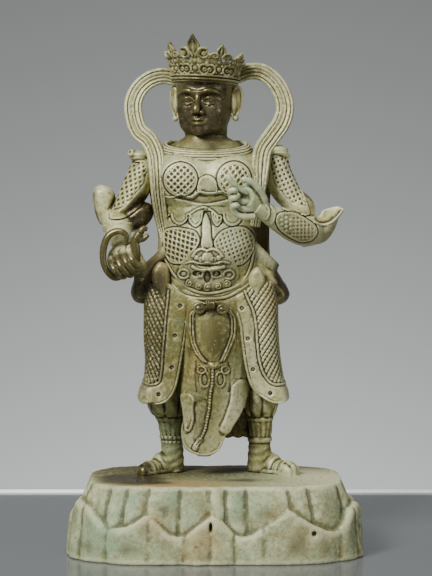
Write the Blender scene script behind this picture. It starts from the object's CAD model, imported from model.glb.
import math

import bpy
import mathutils
import numpy as np
import openvdb as vdb
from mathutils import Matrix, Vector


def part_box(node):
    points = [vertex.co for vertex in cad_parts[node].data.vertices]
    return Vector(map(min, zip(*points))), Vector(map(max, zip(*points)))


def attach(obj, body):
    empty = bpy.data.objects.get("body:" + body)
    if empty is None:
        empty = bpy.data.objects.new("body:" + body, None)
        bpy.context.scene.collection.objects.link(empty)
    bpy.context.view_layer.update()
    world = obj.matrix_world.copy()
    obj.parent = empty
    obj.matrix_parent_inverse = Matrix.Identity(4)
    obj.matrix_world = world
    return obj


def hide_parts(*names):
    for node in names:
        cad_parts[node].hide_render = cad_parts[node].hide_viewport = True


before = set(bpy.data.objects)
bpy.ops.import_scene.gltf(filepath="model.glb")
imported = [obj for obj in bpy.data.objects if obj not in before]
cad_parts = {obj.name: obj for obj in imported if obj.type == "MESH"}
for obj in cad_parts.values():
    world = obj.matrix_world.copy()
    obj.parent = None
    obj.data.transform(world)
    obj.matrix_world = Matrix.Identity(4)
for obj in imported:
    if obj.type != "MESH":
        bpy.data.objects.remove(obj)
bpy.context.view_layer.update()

MM = 0.001
PLINTH_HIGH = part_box("plinth")[1][2] / MM
COARSE = 1.0
FAR = 12.0  # the distance that stands for empty air
SKIN = 5.0  # how far from a surface the fields hold true distances
SPARING = 0.08  # how readily the mesh is thinned where a surface is flat
FULL_TURN = 2 * math.pi
END = 1.0  # how far a swept form's ends are rounded


# Curves

def hermite(knots, rows, at):
    """Values of a smooth curve through rows, one row for each knot."""
    knots = np.asarray(knots, float)
    rows = np.asarray(rows, float)
    if rows.ndim == 1:
        rows = rows[:, None]
    if knots[0] > knots[-1]:
        knots, rows = knots[::-1], rows[::-1]
    if len(knots) > 2:
        slopes = np.gradient(rows, knots, axis=0)
    else:
        slopes = np.repeat((rows[1:] - rows[:1]) / (knots[1] - knots[0]), 2, axis=0)
    i = np.clip(np.searchsorted(knots, at, side="right") - 1, 0, len(knots) - 2)
    span = (knots[i + 1] - knots[i])[..., None]
    t = np.clip((at - knots[i])[..., None] / span, 0, 1)
    bend = slopes[i] * t * (1 - t) ** 2 - slopes[i + 1] * t * t * (1 - t)
    return rows[i] * (1 + 2 * t) * (1 - t) ** 2 + rows[i + 1] * t * t * (3 - 2 * t) + span * bend


def read_off(rows, at):
    """The second column of rows, read at places along their first."""
    return hermite([row[0] for row in rows], [row[1] for row in rows], at)[..., 0]


def lengths(points):
    """The length along a line of points, up to each of them."""
    return np.r_[0, np.cumsum(np.linalg.norm(np.diff(points, axis=0), axis=1))]


def smooth(points, step=1.5, closed=False):
    """Points every step along a smooth curve through points."""
    points = np.asarray(points, float)
    if closed:
        points = np.vstack([points[-2:], points, points[:3]])
    length = lengths(points)
    first, last = (length[2], length[-3]) if closed else (0, length[-1])
    count = max(int((last - first) / step), 3) + 1
    return hermite(length, points, np.linspace(first, last, count))


def turns(count):
    """Even steps round a full turn."""
    return np.linspace(0, FULL_TURN, count + 1)[:-1]


def ring(x, z, rx, rz=None):
    """Points round an oval of x and z."""
    rz = rx if rz is None else rz
    return [(x + rx * math.cos(a), z + rz * math.sin(a)) for a in turns(24)]


def spiral(cx, cz, radius, winds, start, hand):
    """Points of a curl that winds in from its radius."""
    share = np.linspace(0, 1, 14)
    angle = start + hand * share * winds * FULL_TURN
    reach = radius * (1 - 0.86 * share)
    return np.stack([cx + reach * np.cos(angle), cz + reach * np.sin(angle)], 1)


# Distances: negative inside

def smin(a, b, k):
    """The smaller of two distances, rounded over k where they meet."""
    if k <= 0:
        return np.minimum(a, b)
    h = np.clip(0.5 + 0.5 * (b - a) / k, 0, 1)
    return b + (a - b) * h - k * h * (1 - h)


def smax(a, b, k):
    """The larger of two distances, rounded likewise."""
    return -smin(-a, -b, k)


def step_up(value, low, high):
    """A soft step from 0 at low to 1 at high."""
    t = np.clip((value - low) / (high - low), 0, 1)
    return t * t * (3 - 2 * t)


def oval_distance(u, v, half, deep):
    """Distance to an oval, true near its edge."""
    a = np.hypot(u / half, v / deep)
    b = np.hypot(u / half ** 2, v / deep ** 2) + 1e-9
    return a * (a - 1) / b


def stroke(points, U, V):
    """Distance to an open line of points in a plane, and the length along it."""
    best = np.full(np.broadcast(U, V).shape, 1e6)
    along = np.zeros(best.shape)
    run = 0.0
    for p, q in zip(points[:-1], points[1:]):
        d = q - p
        size = math.hypot(*d)
        if size < 1e-6:
            continue
        t = np.clip(((U - p[0]) * d[0] + (V - p[1]) * d[1]) / size ** 2, 0, 1)
        r = (U - p[0] - t * d[0]) ** 2 + (V - p[1] - t * d[1]) ** 2
        closer = r < best
        best = np.where(closer, r, best)
        along = np.where(closer, run + t * size, along)
        run += size
    return np.sqrt(best), along


def outline(points, U, V):
    """Signed distance to a closed line of points in a plane."""
    points = np.asarray(points, float)
    inside = np.zeros(np.broadcast(U, V).shape, bool)
    for p, q in zip(points, np.roll(points, -1, axis=0)):
        if p[1] == q[1]:
            continue
        crosses = (p[1] > V) != (q[1] > V)
        inside ^= crosses & (U < (q[0] - p[0]) * (V - p[1]) / (q[1] - p[1]) + p[0])
    away, _ = stroke(np.vstack([points, points[:1]]), U, V)
    return np.where(inside, -away, away)


class Form:
    """A distance function and the box outside which it needn't be read."""

    def __init__(self, low, high, distance):
        self.low, self.high, self.distance = np.array(low, float), np.array(high, float), distance


def ball(centre, radii):
    """An ellipsoid."""
    centre, radii = np.array(centre, float), np.array(radii, float)

    def distance(X, Y, Z):
        x, y, z = ((A - c) / r for A, c, r in zip((X, Y, Z), centre, radii))
        a = np.sqrt(x ** 2 + y ** 2 + z ** 2)
        b = np.sqrt((x / radii[0]) ** 2 + (y / radii[1]) ** 2 + (z / radii[2]) ** 2)
        return a * (a - 1) / (b + 1e-9)

    return Form(centre - radii, centre + radii, distance)


def stack(rows, roundness=2.3, cap=2.0):
    """A body of level rounded sections, from rows of z, cx, cy, half width, front, back."""
    rows = np.array(sorted(rows, key=lambda row: row[0]), float)
    low = [(rows[:, 1] - rows[:, 3]).min(), (rows[:, 2] - rows[:, 4]).min(), rows[0, 0]]
    high = [(rows[:, 1] + rows[:, 3]).max(), (rows[:, 2] + rows[:, 5]).max(), rows[-1, 0]]

    def distance(X, Y, Z):
        cx, cy, half, front, back = np.moveaxis(hermite(rows[:, 0], rows[:, 1:], Z), -1, 0)
        x, y = X - cx, Y - cy
        deep = np.where(y < 0, front, back)
        f = (np.abs(x / half) ** roundness + np.abs(y / deep) ** roundness) ** (1 / roundness)
        side = np.hypot(x, y) * (1 - 1 / np.maximum(f, 1e-3))
        return smax(side, np.maximum(Z - rows[-1, 0], rows[0, 0] - Z) + 0 * side, cap)

    return Form(low, high, distance)


class Field:
    """Distances on a block of small cubes."""

    def __init__(self, low, high, cell):
        self.cell = cell * COARSE
        self.low = np.array(low, float)
        count = np.ceil((np.array(high) - self.low) / self.cell).astype(int) + 1
        self.lines = [self.low[i] + self.cell * np.arange(count[i]) for i in range(3)]
        self.d = np.full(count, FAR, np.float32)

    def window(self, low, high, reach=SKIN):
        cut = tuple(slice(*np.searchsorted(line, (low[i] - reach, high[i] + reach)))
                    for i, line in enumerate(self.lines))
        X, Y, Z = np.ix_(*(line[c].astype(np.float32) for line, c in zip(self.lines, cut)))
        return cut, X, Y, Z

    def whole(self):
        return np.ix_(*(line.astype(np.float32) for line in self.lines))

    def add(self, form, blend=0.0):
        cut, X, Y, Z = self.window(form.low, form.high, max(SKIN, blend))
        if self.d[cut].size:
            self.d[cut] = smin(self.d[cut], form.distance(X, Y, Z), blend)

    def carve(self, form, blend=0.0):
        cut, X, Y, Z = self.window(form.low, form.high, 1.0)
        if self.d[cut].size:
            self.d[cut] = smax(self.d[cut], -form.distance(X, Y, Z), blend)

    def raise_by(self, low, high, height):
        """Move the surface out by a height that depends on the place."""
        cut, X, Y, Z = self.window(low, high, 0.0)
        if self.d[cut].size:
            self.d[cut] -= height(X, Y, Z)

    def front(self, x, z):
        """Where a line of sight along y at x and z first meets the surface."""
        i = int(round((x - self.low[0]) / self.cell))
        k = int(round((z - self.low[2]) / self.cell))
        column = self.d[i, :, k]
        j = int(np.argmax(column < 0))
        if j == 0:
            raise ValueError(f"nothing stands at {x}, {z}")
        share = column[j - 1] / (column[j - 1] - column[j])
        return self.low[1] + self.cell * (j - 1 + share)


class Relief:
    """Heights over the front of a form, read straight along y on the lines of its field."""

    def __init__(self, field):
        self.field = field
        self.U, self.V = np.meshgrid(field.lines[0], field.lines[2], indexing="ij")
        self.h = np.zeros(self.U.shape)

    def part(self, line, reach):
        low, high = line.min(0) - reach, line.max(0) + reach
        return tuple(slice(*np.searchsorted(self.field.lines[2 * k], (low[k], high[k]))) for k in (0, 1))

    def plate(self, points, high, edge=0.9, pattern=None, margin=1.2):
        """Set what lies inside an outline to a height, with a pattern on it."""
        line = smooth(points, 1.2, True)
        cut = self.part(line, 1)
        U, V = self.U[cut], self.V[cut]
        away = -outline(line, U, V)
        level = high + (pattern(U, V) * step_up(away, margin, margin + 1) if pattern else 0)
        self.h[cut] += (level - self.h[cut]) * step_up(away, -edge / 2, edge / 2)

    def line(self, points, radius, high, closed=False, beaded=False):
        """Raise a round welt along a line, or press a groove where high is negative."""
        run = smooth(points, 1.0, closed)
        cut = self.part(run, radius)
        away, along = stroke(run, self.U[cut], self.V[cut])
        lift = high * np.sqrt(np.clip(1 - (away / radius) ** 2, 0, 1))
        if beaded:
            lift = lift * (1 + 0.5 * np.cos(FULL_TURN * (along / 3.0 + away / radius * 0.4)))
        self.h[cut] += lift

    def dots(self, places, radius, high):
        for x, z in places:
            cut = self.part(np.array([[x, z]]), radius)
            away = np.hypot(self.U[cut] - x, self.V[cut] - z)
            self.h[cut] += high * np.sqrt(np.clip(1 - (away / radius) ** 2, 0, 1))

    def curl(self, x, z, radius, high, winds, start, hand):
        self.line(spiral(x, z, radius, winds, start, hand), 0.8, high)

    def press(self, near, far):
        """Move the field's surface out by the heights, fading from near to far along y."""
        fade = 1 - step_up(self.field.lines[1], near, far)
        self.field.d -= (self.h[:, None, :] * fade[None, :, None]).astype(np.float32)


def pillow(points, width, deep, middle):
    """A cushion over an outline of x and z: full depth a width in from its edge."""
    line = smooth(points, closed=True)

    def distance(X, Y, Z):
        rise = 1 - np.clip(-outline(line, X, Z) / width, -2, 1)
        y = (Y - middle) / deep
        f = np.sqrt(rise ** 2 + y ** 2)
        slope = np.sqrt((rise / width) ** 2 + (y / deep) ** 2)
        return f * (f - 1) / (slope + 1e-6)

    low, high = line.min(0), line.max(0)
    return Form([low[0], middle - deep, low[1]], [high[0], middle + deep, high[1]], distance)


def sweep(field, points, section, reach, blend=1.0, facing=(0, -1, 0), step=1.5, closed=False):
    """Add a section carried along a smooth curve, its distance given by section(u, v, s, t).

    u runs to the side and v towards what the curve faces, s is the length along it and t its share.
    """
    line = smooth(points, step, closed)
    along = np.gradient(line, axis=0)
    along /= np.linalg.norm(along, axis=1)[:, None]
    facing = facing(line) if callable(facing) else np.broadcast_to(np.array(facing, float), line.shape)
    side = np.cross(along, facing)
    side /= np.linalg.norm(side, axis=1)[:, None] + 1e-9
    out = np.cross(side, along)
    length = lengths(line)

    cut, X, Y, Z = field.window(line.min(0), line.max(0), reach + 1)
    size = (X.shape[0], Y.shape[1], Z.shape[2])
    best = np.full(size, reach ** 2, np.float32)
    place = np.full(size, -1, np.float32)
    corner = np.array([X[0, 0, 0], Y[0, 0, 0], Z[0, 0, 0]])
    for i, (p, q) in enumerate(zip(line[:-1], line[1:])):
        low = np.maximum(np.floor((np.minimum(p, q) - reach - corner) / field.cell), 0).astype(int)
        high = np.ceil((np.maximum(p, q) + reach - corner) / field.cell).astype(int) + 1
        part = tuple(slice(a, min(b, n)) for a, b, n in zip(low, high, size))
        x, y, z = X[part[0]] - p[0], Y[:, part[1]] - p[1], Z[:, :, part[2]] - p[2]
        if not (x.size and y.size and z.size):
            continue
        d = q - p
        t = np.clip((x * d[0] + y * d[1] + z * d[2]) / (d @ d), 0, 1)
        r = (x - t * d[0]) ** 2 + (y - t * d[1]) ** 2 + (z - t * d[2]) ** 2
        closer = r < best[part]
        best[part] = np.where(closer, r, best[part])
        place[part] = np.where(closer, i + t, place[part])
    near = np.nonzero(place >= 0)
    spot = place[near]
    i = np.minimum(spot.astype(int), len(line) - 2)
    t = (spot - i)[:, None]
    where = np.stack([X[near[0], 0, 0], Y[0, near[1], 0], Z[0, 0, near[2]]], 1)
    rel = where - (line[i] * (1 - t) + line[i + 1] * t)
    mix = lambda a: a[i] * (1 - t) + a[i + 1] * t
    u, v, w = ((rel * mix(a)).sum(1) for a in (side, out, along))
    s = length[i] * (1 - t[:, 0]) + length[i + 1] * t[:, 0]
    d = section(u, v, s, s / length[-1])
    if not closed:
        over = np.where((spot <= 0) | (spot >= len(line) - 1), np.abs(w), 0) - END
        d = smax(d, over, END)
    block = field.d[cut]
    block[near] = smin(block[near], d, blend)


def tapered(rows):
    """An oval section from rows of share of the length, half width, half depth."""
    rows = np.array(rows, float)

    def section(u, v, s, t):
        half, deep = hermite(rows[:, 0], rows[:, 1:], t).T
        return oval_distance(u, v, half, deep)
    return section


def cord(radius, twist=0.0, pitch=5.0):
    """A round section; with twist it is a rope of two strands."""
    def section(u, v, s, t):
        r = np.hypot(u, v)
        if not twist:
            return r - radius
        return r - radius - twist * (np.abs(np.cos(np.arctan2(v, u) + s * math.pi / pitch)) - 0.6)
    return section


# Patterns, as heights over a surface

PERIOD = 32


def noise(X, Y, Z, size, seed):
    """Smooth random heights between -1 and 1 that repeat after PERIOD cells."""
    table = np.random.default_rng(seed).uniform(-1, 1, (PERIOD,) * 3).astype(np.float32)
    out = 0
    P = [np.asarray(A, np.float32) / size for A in (X, Y, Z)]
    cell = [np.floor(p).astype(int) for p in P]
    f = [p - c for p, c in zip(P, cell)]
    f = [t * t * (3 - 2 * t) for t in f]
    for i, j, k in np.ndindex(2, 2, 2):
        weight = (f[0] if i else 1 - f[0]) * (f[1] if j else 1 - f[1]) * (f[2] if k else 1 - f[2])
        out = out + weight * table[(cell[0] + i) % PERIOD, (cell[1] + j) % PERIOD, (cell[2] + k) % PERIOD]
    return out


def lattice(a, b, high, wide, deep, shut=0.12):
    """Pitted mail: narrow straps that cross, and a deep pit in every mesh."""
    pit = np.abs(np.sin(math.pi * a / high) * np.sin(math.pi * b / wide))
    return -deep * np.clip(1.4 * pit - shut, 0, 1) ** 0.8


def woven(a, b, high, wide, deep):
    """Mail in rows: a groove between rows, each row crossed by slanting notches."""
    row = np.abs(np.sin(math.pi * a / high)) ** 0.7
    lean = np.where(np.floor(a / high) % 2 > 0, 1, -1)
    notch = np.abs(np.sin(math.pi * (b + 0.5 * lean * a) / wide)) ** 0.6
    return -deep * (1 - row * (0.45 + 0.55 * notch))


# Meshes

HELD = 4.0  # no distance counts for more than this towards a hollow
FINE_REACH, BROAD_REACH = 0.9, 3.0  # how far round a point its hollows are read, in millimetres
FINE_GAIN, BROAD_GAIN = 1.6, 0.42
PATCH_FALL = 0.7  # how quickly a patch fades from its centre


def blurred(values, width):
    """Values averaged over cubes that reach a width in cells each way, twice."""
    for _ in range(2):
        for axis in range(3):
            n = values.shape[axis]
            total = np.cumsum(values, axis=axis, dtype=np.float32)
            total = np.concatenate([np.zeros_like(np.take(total, [0], axis)), total], axis)
            a = np.clip(np.arange(n) - width, 0, n)
            b = np.clip(np.arange(n) + width + 1, 0, n)
            span = (b - a).reshape([-1 if i == axis else 1 for i in range(3)])
            values = (np.take(total, b, axis) - np.take(total, a, axis)) / span
    return values


def sampled(values, places):
    """Values of a block at places given in cells."""
    places = np.clip(places, 0, np.array(values.shape) - 1.001)
    i = places.astype(int)
    f = places - i
    out = 0
    for corner in np.ndindex(2, 2, 2):
        weight = np.prod([f[:, k] if corner[k] else 1 - f[:, k] for k in range(3)], axis=0)
        out = out + weight * values[tuple((i + corner).T)]
    return out


def placed(name, data):
    """An object put in the scene."""
    made = bpy.data.objects.new(name, data)
    bpy.context.scene.collection.objects.link(made)
    return made


def layer(mesh, name, values):
    """Give the mesh's points a value each, which the shader reads by name."""
    made = mesh.attributes.new(name, "FLOAT", "POINT")
    made.data.foreach_set("value", values.astype(np.float32))


def piece(name, field, node="figure", place=None, bare=None):
    """Mesh a field, with how hollow each place lies and how it is worn, and hand it to the frame."""
    grid = vdb.FloatGrid(FAR)
    grid.copyFromArray(field.d)
    points, triangles, quads = grid.convertToPolygons(0.0, SPARING)
    held = np.clip(field.d, -HELD, HELD)
    fine = sampled(blurred(held, max(int(round(FINE_REACH / field.cell)), 1)), points)
    broad = sampled(blurred(held, max(int(round(BROAD_REACH / field.cell)), 2)), points)
    points = points * field.cell + field.low
    if place is not None:
        points = place(points)
    mesh = bpy.data.meshes.new(name)
    world = (points + [0, 0, PLINTH_HIGH if node == "figure" else 0]) * MM
    faces = [tuple(q) for q in quads[:, ::-1].tolist()] + [tuple(t) for t in triangles[:, ::-1].tolist()]
    mesh.from_pydata(world.tolist(), [], faces)
    mesh.validate()
    mesh.polygons.foreach_set("use_smooth", np.ones(len(mesh.polygons), bool))
    layer(mesh, "hollow", np.clip(0.5 - fine * FINE_GAIN, 0, 1))
    layer(mesh, "shade", np.clip(0.5 - broad * BROAD_GAIN, 0, 1))
    points = points - [0, 0, 0 if node == "figure" else PLINTH_HIGH]
    for label, blobs in PATCHES.items():
        amount = np.full(len(points), (bare or {}).get(label, 0.0))
        for blob in blobs:
            far = (((points - blob[:3]) / blob[3:6]) ** 2).sum(1)
            amount = np.maximum(amount, blob[6] * np.exp(-far * PATCH_FALL))
        layer(mesh, label, amount)
    mesh.materials.append(FINISHES[node])
    made = placed(name, mesh)
    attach(made, "root")
    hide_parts(node)


# Finishes

def paint(red, green, blue):
    """A colour as a screen shows it, each share from 11 to 255, in the renderer's linear terms."""
    return tuple(((c / 255 + 0.055) / 1.055) ** 2.4 for c in (red, green, blue)) + (1.0,)


CREAM = paint(186, 185, 122)
PALE = paint(228, 226, 180)
OLIVE = paint(134, 127, 70)
DEEP_OLIVE = paint(92, 83, 40)
RECESS = paint(54, 46, 25)
METAL = paint(103, 93, 66)
METAL_DARK = paint(58, 51, 37)
TEAL = paint(136, 172, 136)
OCHRE = paint(190, 152, 94)
STONE = paint(188, 196, 150)
STONE_DARK = paint(146, 148, 106)


class Nodes:
    """Short calls for building a shader."""

    def __init__(self, material):
        self.tree = material.node_tree
        self.tree.nodes.clear()

    def node(self, kind, inputs=(), **settings):
        made = self.tree.nodes.new(kind)
        for key, value in settings.items():
            setattr(made, key, value)
        for key, value in dict(inputs).items():
            if isinstance(value, bpy.types.NodeSocket):
                self.tree.links.new(value, made.inputs[key])
            else:
                made.inputs[key].default_value = value
        return made

    def math(self, operation, a, b):
        return self.node("ShaderNodeMath", {0: a, 1: b}, operation=operation).outputs[0]

    def times(self, a, b):
        return self.math("MULTIPLY", a, b)

    def plus(self, a, b, share=1.0):
        return self.math("ADD", a, self.times(b, share))

    def value(self, name):
        return self.node("ShaderNodeAttribute", attribute_name=name).outputs["Fac"]

    def mix(self, amount, a, b):
        return self.node("ShaderNodeMix", {0: amount, 6: a, 7: b}, data_type="RGBA").outputs[2]

    def ramp(self, value, low, high, top=1.0):
        return self.node("ShaderNodeMapRange", {0: value, 1: low, 2: high, 3: 0.0, 4: top},
                         interpolation_type="SMOOTHSTEP").outputs[0]

    def noise(self, scale, detail, rough=0.55):
        place = self.node("ShaderNodeTexCoord").outputs["Object"]
        return self.node("ShaderNodeTexNoise", {"Vector": place, "Scale": scale, "Detail": detail,
                "Roughness": rough}).outputs[0]


def bronze(name, light, dark, roughness, metallic, grime):
    """Bronze under a thin crust: dark lines in its hollows, brown metal where it is rubbed."""
    material = bpy.data.materials.new(name)
    material.use_nodes = True
    n = Nodes(material)
    hollow, shade = n.value("hollow"), n.value("shade")
    cloud, grain, speck = n.noise(30, 4, 0.6), n.noise(240, 6, 0.65), n.noise(900, 3)
    blotch, stain, fleck = n.noise(420, 4, 0.7), n.noise(60, 3), n.noise(560, 5, 0.7)
    lean = n.plus(n.times(cloud, 0.45), grain, 0.55)

    tone = n.mix(n.ramp(lean, 0.38, 0.60), dark, light)
    tone = n.mix(n.ramp(stain, 0.55, 0.68, 0.5), tone, TEAL)
    tone = n.mix(n.ramp(stain, 0.42, 0.32, 0.4), tone, OCHRE)
    tone = n.mix(n.ramp(fleck, 0.52, 0.62, 0.7), tone, OLIVE)
    raised = n.ramp(n.math("SUBTRACT", 0.5, hollow), 0.02, 0.26)
    tone = n.mix(n.times(raised, 0.3 + 0.4 * grime), tone, PALE)
    for label, at, full, colour in (("olive", 0.68, 0.40, OLIVE), ("brown", 0.75, 0.45, DEEP_OLIVE),
                                    ("pale", 0.25, 0.55, PALE), ("teal", 0.3, 0.6, TEAL),
                                    ("ochre", 0.3, 0.62, OCHRE)):
        tone = n.mix(n.times(n.value(label), n.ramp(grain, at, full)), tone, colour)
    low = n.plus(hollow, n.math("SUBTRACT", grain, 0.5), 0.3)
    tone = n.mix(n.ramp(low, 0.51, 0.64, 0.75 * grime), tone, DEEP_OLIVE)
    wide = n.plus(shade, n.math("SUBTRACT", cloud, 0.5), 0.5)
    tone = n.mix(n.ramp(wide, 0.56, 0.92, 0.7 * grime), tone, DEEP_OLIVE)
    deep = n.times(n.ramp(low, 0.60, 0.84, grime), n.plus(0.55, n.ramp(cloud, 0.35, 0.6), 0.45))
    dirt = n.math("MAXIMUM", deep, n.ramp(speck, 0.61, 0.70, 0.6))
    dirt = n.math("MAXIMUM", dirt, n.value("dark"))
    tone = n.mix(dirt, tone, RECESS)
    rub = n.plus(n.value("rub"), n.math("SUBTRACT", cloud, 0.5), 0.8)
    rub = n.ramp(n.math("SUBTRACT", rub, n.times(deep, 0.3)), 0.3, 0.7)
    metal = n.mix(n.ramp(lean, 0.42, 0.62), METAL, METAL_DARK)
    metal = n.mix(n.times(deep, 0.8), metal, RECESS)
    metal = n.mix(n.times(raised, 0.4), metal, OLIVE)
    tone = n.mix(rub, tone, metal)
    tone = n.mix(n.ramp(blotch, 0.60, 0.70, 0.5), tone, PALE)
    rough = n.math("SUBTRACT", n.plus(roughness - 0.1, grain, 0.2), n.times(rub, 0.2))
    bump = n.node("ShaderNodeBump", {"Strength": 0.3, "Distance": 0.0005,
            "Height": n.plus(n.times(speck, 0.3), grain, 0.7)}).outputs[0]
    shader = n.node("ShaderNodeBsdfPrincipled", {"Base Color": tone, "Roughness": rough,
            "Metallic": n.plus(metallic, rub, 0.35), "Normal": bump})
    out = n.node("ShaderNodeOutputMaterial")
    n.tree.links.new(shader.outputs[0], out.inputs[0])
    return material


FINISHES = {
    "figure": bronze("crusted_bronze", CREAM, OLIVE, 0.52, 0.30, 1.0),
    "plinth": bronze("plinth_bronze", STONE, STONE_DARK, 0.62, 0.08, 0.5),
}

# Where the crust is pale, rubbed off, stained or dark: a row is a centre, three radii and a strength
PATCHES = {
    "pale": [
        (-9, -36, 314, 60, 22, 14, 1), (-9, -40, 330, 50, 13, 9, 1.5), (24, -40, 240, 24, 24, 24, 1.1),
        (74, 0, 300, 26, 40, 34, 1), (-8, -50, 210, 24, 20, 14, 0.8), (100, -10, 0, 50, 60, 6, 0.9),
        (-14, -36, 286, 10, 12, 14, 0.8), (-80, 10, 380, 26, 20, 34, 0.7),
        (70, 10, 380, 24, 20, 36, 0.7), (-112, 20, 280, 12, 20, 24, 0.9),
        (-92, -34, 240, 20, 20, 10, 0.7), (112, 10, 262, 22, 24, 20, 0.6),
        (-8, -38, 245, 7, 12, 22, 0.8), (42, -20, 130, 12, 20, 60, 0.7), (20, -20, 72, 9, 20, 26, 1.2),
        (12, -16, 58, 8, 20, 16, 1), (-6, -10, 34, 24, 16, 16, 0.5), (28, -52, 280, 20, 20, 26, 0.4),
        (-24, -14, 40, 12, 20, 24, 0.6),
    ],
    "rub": [
        (-12, -16, 368, 34, 30, 34, 1.1), (-12, 0, 443, 60, 60, 12, 1.2),
        (-12, 0, 412, 50, 50, 20, 0.45), (-42, -4, 358, 5, 8, 5, 1), (24, 6, 358, 5, 8, 5, 0.9),
        (-90, -46, 214, 22, 14, 14, 1), (-84, -24, 0, 30, 40, 5, 1), (30, -30, 0, 50, 14, 4, 0.6),
        (-76, -44, 0, 40, 14, 4, 0.9), (-4, -38, 172, 20, 12, 9, 0.9), (-56, -18, 196, 11, 14, 20, 1),
        (-76, 6, 194, 13, 26, 22, 0.9), (72, 6, 192, 16, 26, 26, 0.9), (-72, 8, 264, 14, 26, 16, 1.3),
        (46, 30, 245, 12, 14, 40, 1.5), (22, 42, 60, 32, 18, 34, 1.3), (-72, -12, 10, 14, 26, 14, 0.9),
        (-66, 20, 110, 12, 30, 90, 0.5), (48, 26, 236, 12, 20, 30, 0.8),
        (-12, -30, 198, 26, 14, 10, 0.5),
    ],
    "teal": [
        (28, -52, 286, 22, 18, 22, 0.7), (-8, -34, 262, 24, 14, 14, 0.5),
        (18, -34, 246, 16, 14, 12, 0.5), (-46, 10, 40, 14, 24, 22, 0.7), (46, -24, 14, 30, 20, 12, 0.5),
        (-112, -70, -50, 26, 40, 22, 0.8), (-90, -70, -16, 16, 40, 12, 0.7),
        (24, -80, -24, 14, 40, 14, 0.6), (-48, -80, -18, 14, 40, 10, 0.6), (60, -10, 6, 20, 20, 10, 0.4),
    ],
    "ochre": [
        (-40, -54, 0, 40, 11, 5, 1.9), (-61, -10, 214, 12, 24, 14, 0.8), (56, -10, 176, 12, 20, 22, 0.6),
        (-20, -30, 112, 10, 14, 16, 0.4), (90, -10, 236, 20, 30, 10, 0.5),
        (-14, -90, -54, 16, 30, 14, 0.7), (-58, -90, -34, 9, 30, 9, 0.8),
        (84, -90, -50, 14, 30, 12, 0.5),
    ],
    "olive": [
        (-6, -36, 130, 40, 30, 60, 1.2), (-62, -26, 190, 22, 40, 20, 0.6),
        (-8, -40, 206, 46, 20, 16, 0.6), (-34, -26, 120, 18, 30, 60, 0.7),
        (-12, 0, 418, 60, 60, 28, 1.1), (-10, 0, 338, 34, 30, 12, 1.3), (30, 12, 406, 22, 12, 9, 1.2),
        (68, 10, 366, 14, 14, 26, 1.1), (-80, 8, 356, 9, 12, 20, 0.6),
    ],
    "brown": [
        (-12, 0, 415, 60, 60, 18, 0.5), (-10, 6, 343, 30, 34, 8, 1.1), (-10, -50, 199, 16, 20, 6, 0.5),
        (-38, -36, 276, 16, 14, 5, 0.9), (-37, -34, 261, 9, 14, 8, 0.9), (48, -20, 300, 6, 20, 16, 0.6),
        (-70, 0, 110, 16, 40, 40, 0.5), (-72, -20, 142, 24, 60, 60, 1.2), (7, -40, 142, 9, 14, 22, 0.9),
        (-56, -20, 285, 7, 14, 30, 0.6), (45, -20, 298, 8, 16, 26, 0.7), (-20, 40, 0, 150, 60, 6, 1.3),
        (-14, -30, 62, 9, 20, 34, 0.8), (-28, -30, 150, 8, 14, 24, 0.5), (-48, 0, 40, 20, 40, 36, 0.5),
        (40, 0, 60, 12, 30, 40, 0.7), (-4, -40, 212, 26, 14, 10, 0.5),
    ],
    "dark": [
        (-36, 24, 60, 6, 26, 60, 0.55), (36, 24, 50, 6, 26, 60, 0.45), (35, 30, 14, 7, 24, 18, 0.5),
        (0, 66, 0, 150, 26, 6, 0.7), (-82, -12, 312, 5, 12, 3.5, 0.8), (-14, -16, 46, 5, 12, 18, 0.5),
        (24, 10, 28, 12, 30, 12, 0.5),
    ],
}


# The trunk: its front carries the breastplate in low relief, its back the robe's folds

TORSO = [  # z, cx, cy, half width, front, back
    (352, -9, 11, 21, 19, 21), (340, -9, 12, 21.5, 19, 22), (334, -9, 13, 33, 22, 25),
    (329, -9, 14, 46, 26, 28), (321, -8, 15, 58, 32, 31), (310, -7, 15, 63, 38, 34),
    (297, -7, 15, 62, 42, 36), (284, -8, 15, 57, 42, 36), (271, -9, 15, 52, 39, 34),
    (255, -10, 15, 47, 38, 33), (238, -9, 15, 47, 39, 33), (222, -7, 15, 51, 41, 36),
    (205, -5, 15, 56, 42, 40), (186, -4, 15, 60, 42, 44), (165, -4, 15, 60, 42, 45),
]
COLLAR_HIGH, COLLAR_DROP = 331.5, 9.5


def collar(field):
    """A soft band round the neck's foot, with fine ribs along its lower half."""
    rows = np.array(sorted(TORSO), float)
    loop = []
    for turn in np.linspace(-math.pi, math.pi, 33)[:-1]:
        z = COLLAR_HIGH - COLLAR_DROP * max(math.cos(turn), 0) ** 1.3
        cx, cy, half, front, back = hermite(rows[:, 0], rows[:, 1:], np.array([z]))[0]
        bend = lambda v: math.copysign(abs(v) ** (2 / 2.2), v)
        deep = front if math.cos(turn) > 0 else back
        loop.append([cx + 0.97 * half * bend(math.sin(turn)), cy - deep * bend(math.cos(turn)), z])

    def band(u, v, s, t):
        d = (np.hypot(u / 5.6, v / 3.4) - 1) * 3.4
        return d - 0.4 * np.cos(u * FULL_TURN / 2.7) * (v > 0)
    middle = np.array([-9, 15, 0])
    sweep(field, loop, band, 9, 0.5, closed=True,
          facing=lambda line: (line - middle) * [1, 1, 0] / 40 + [0, 0, 0.5])


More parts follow.
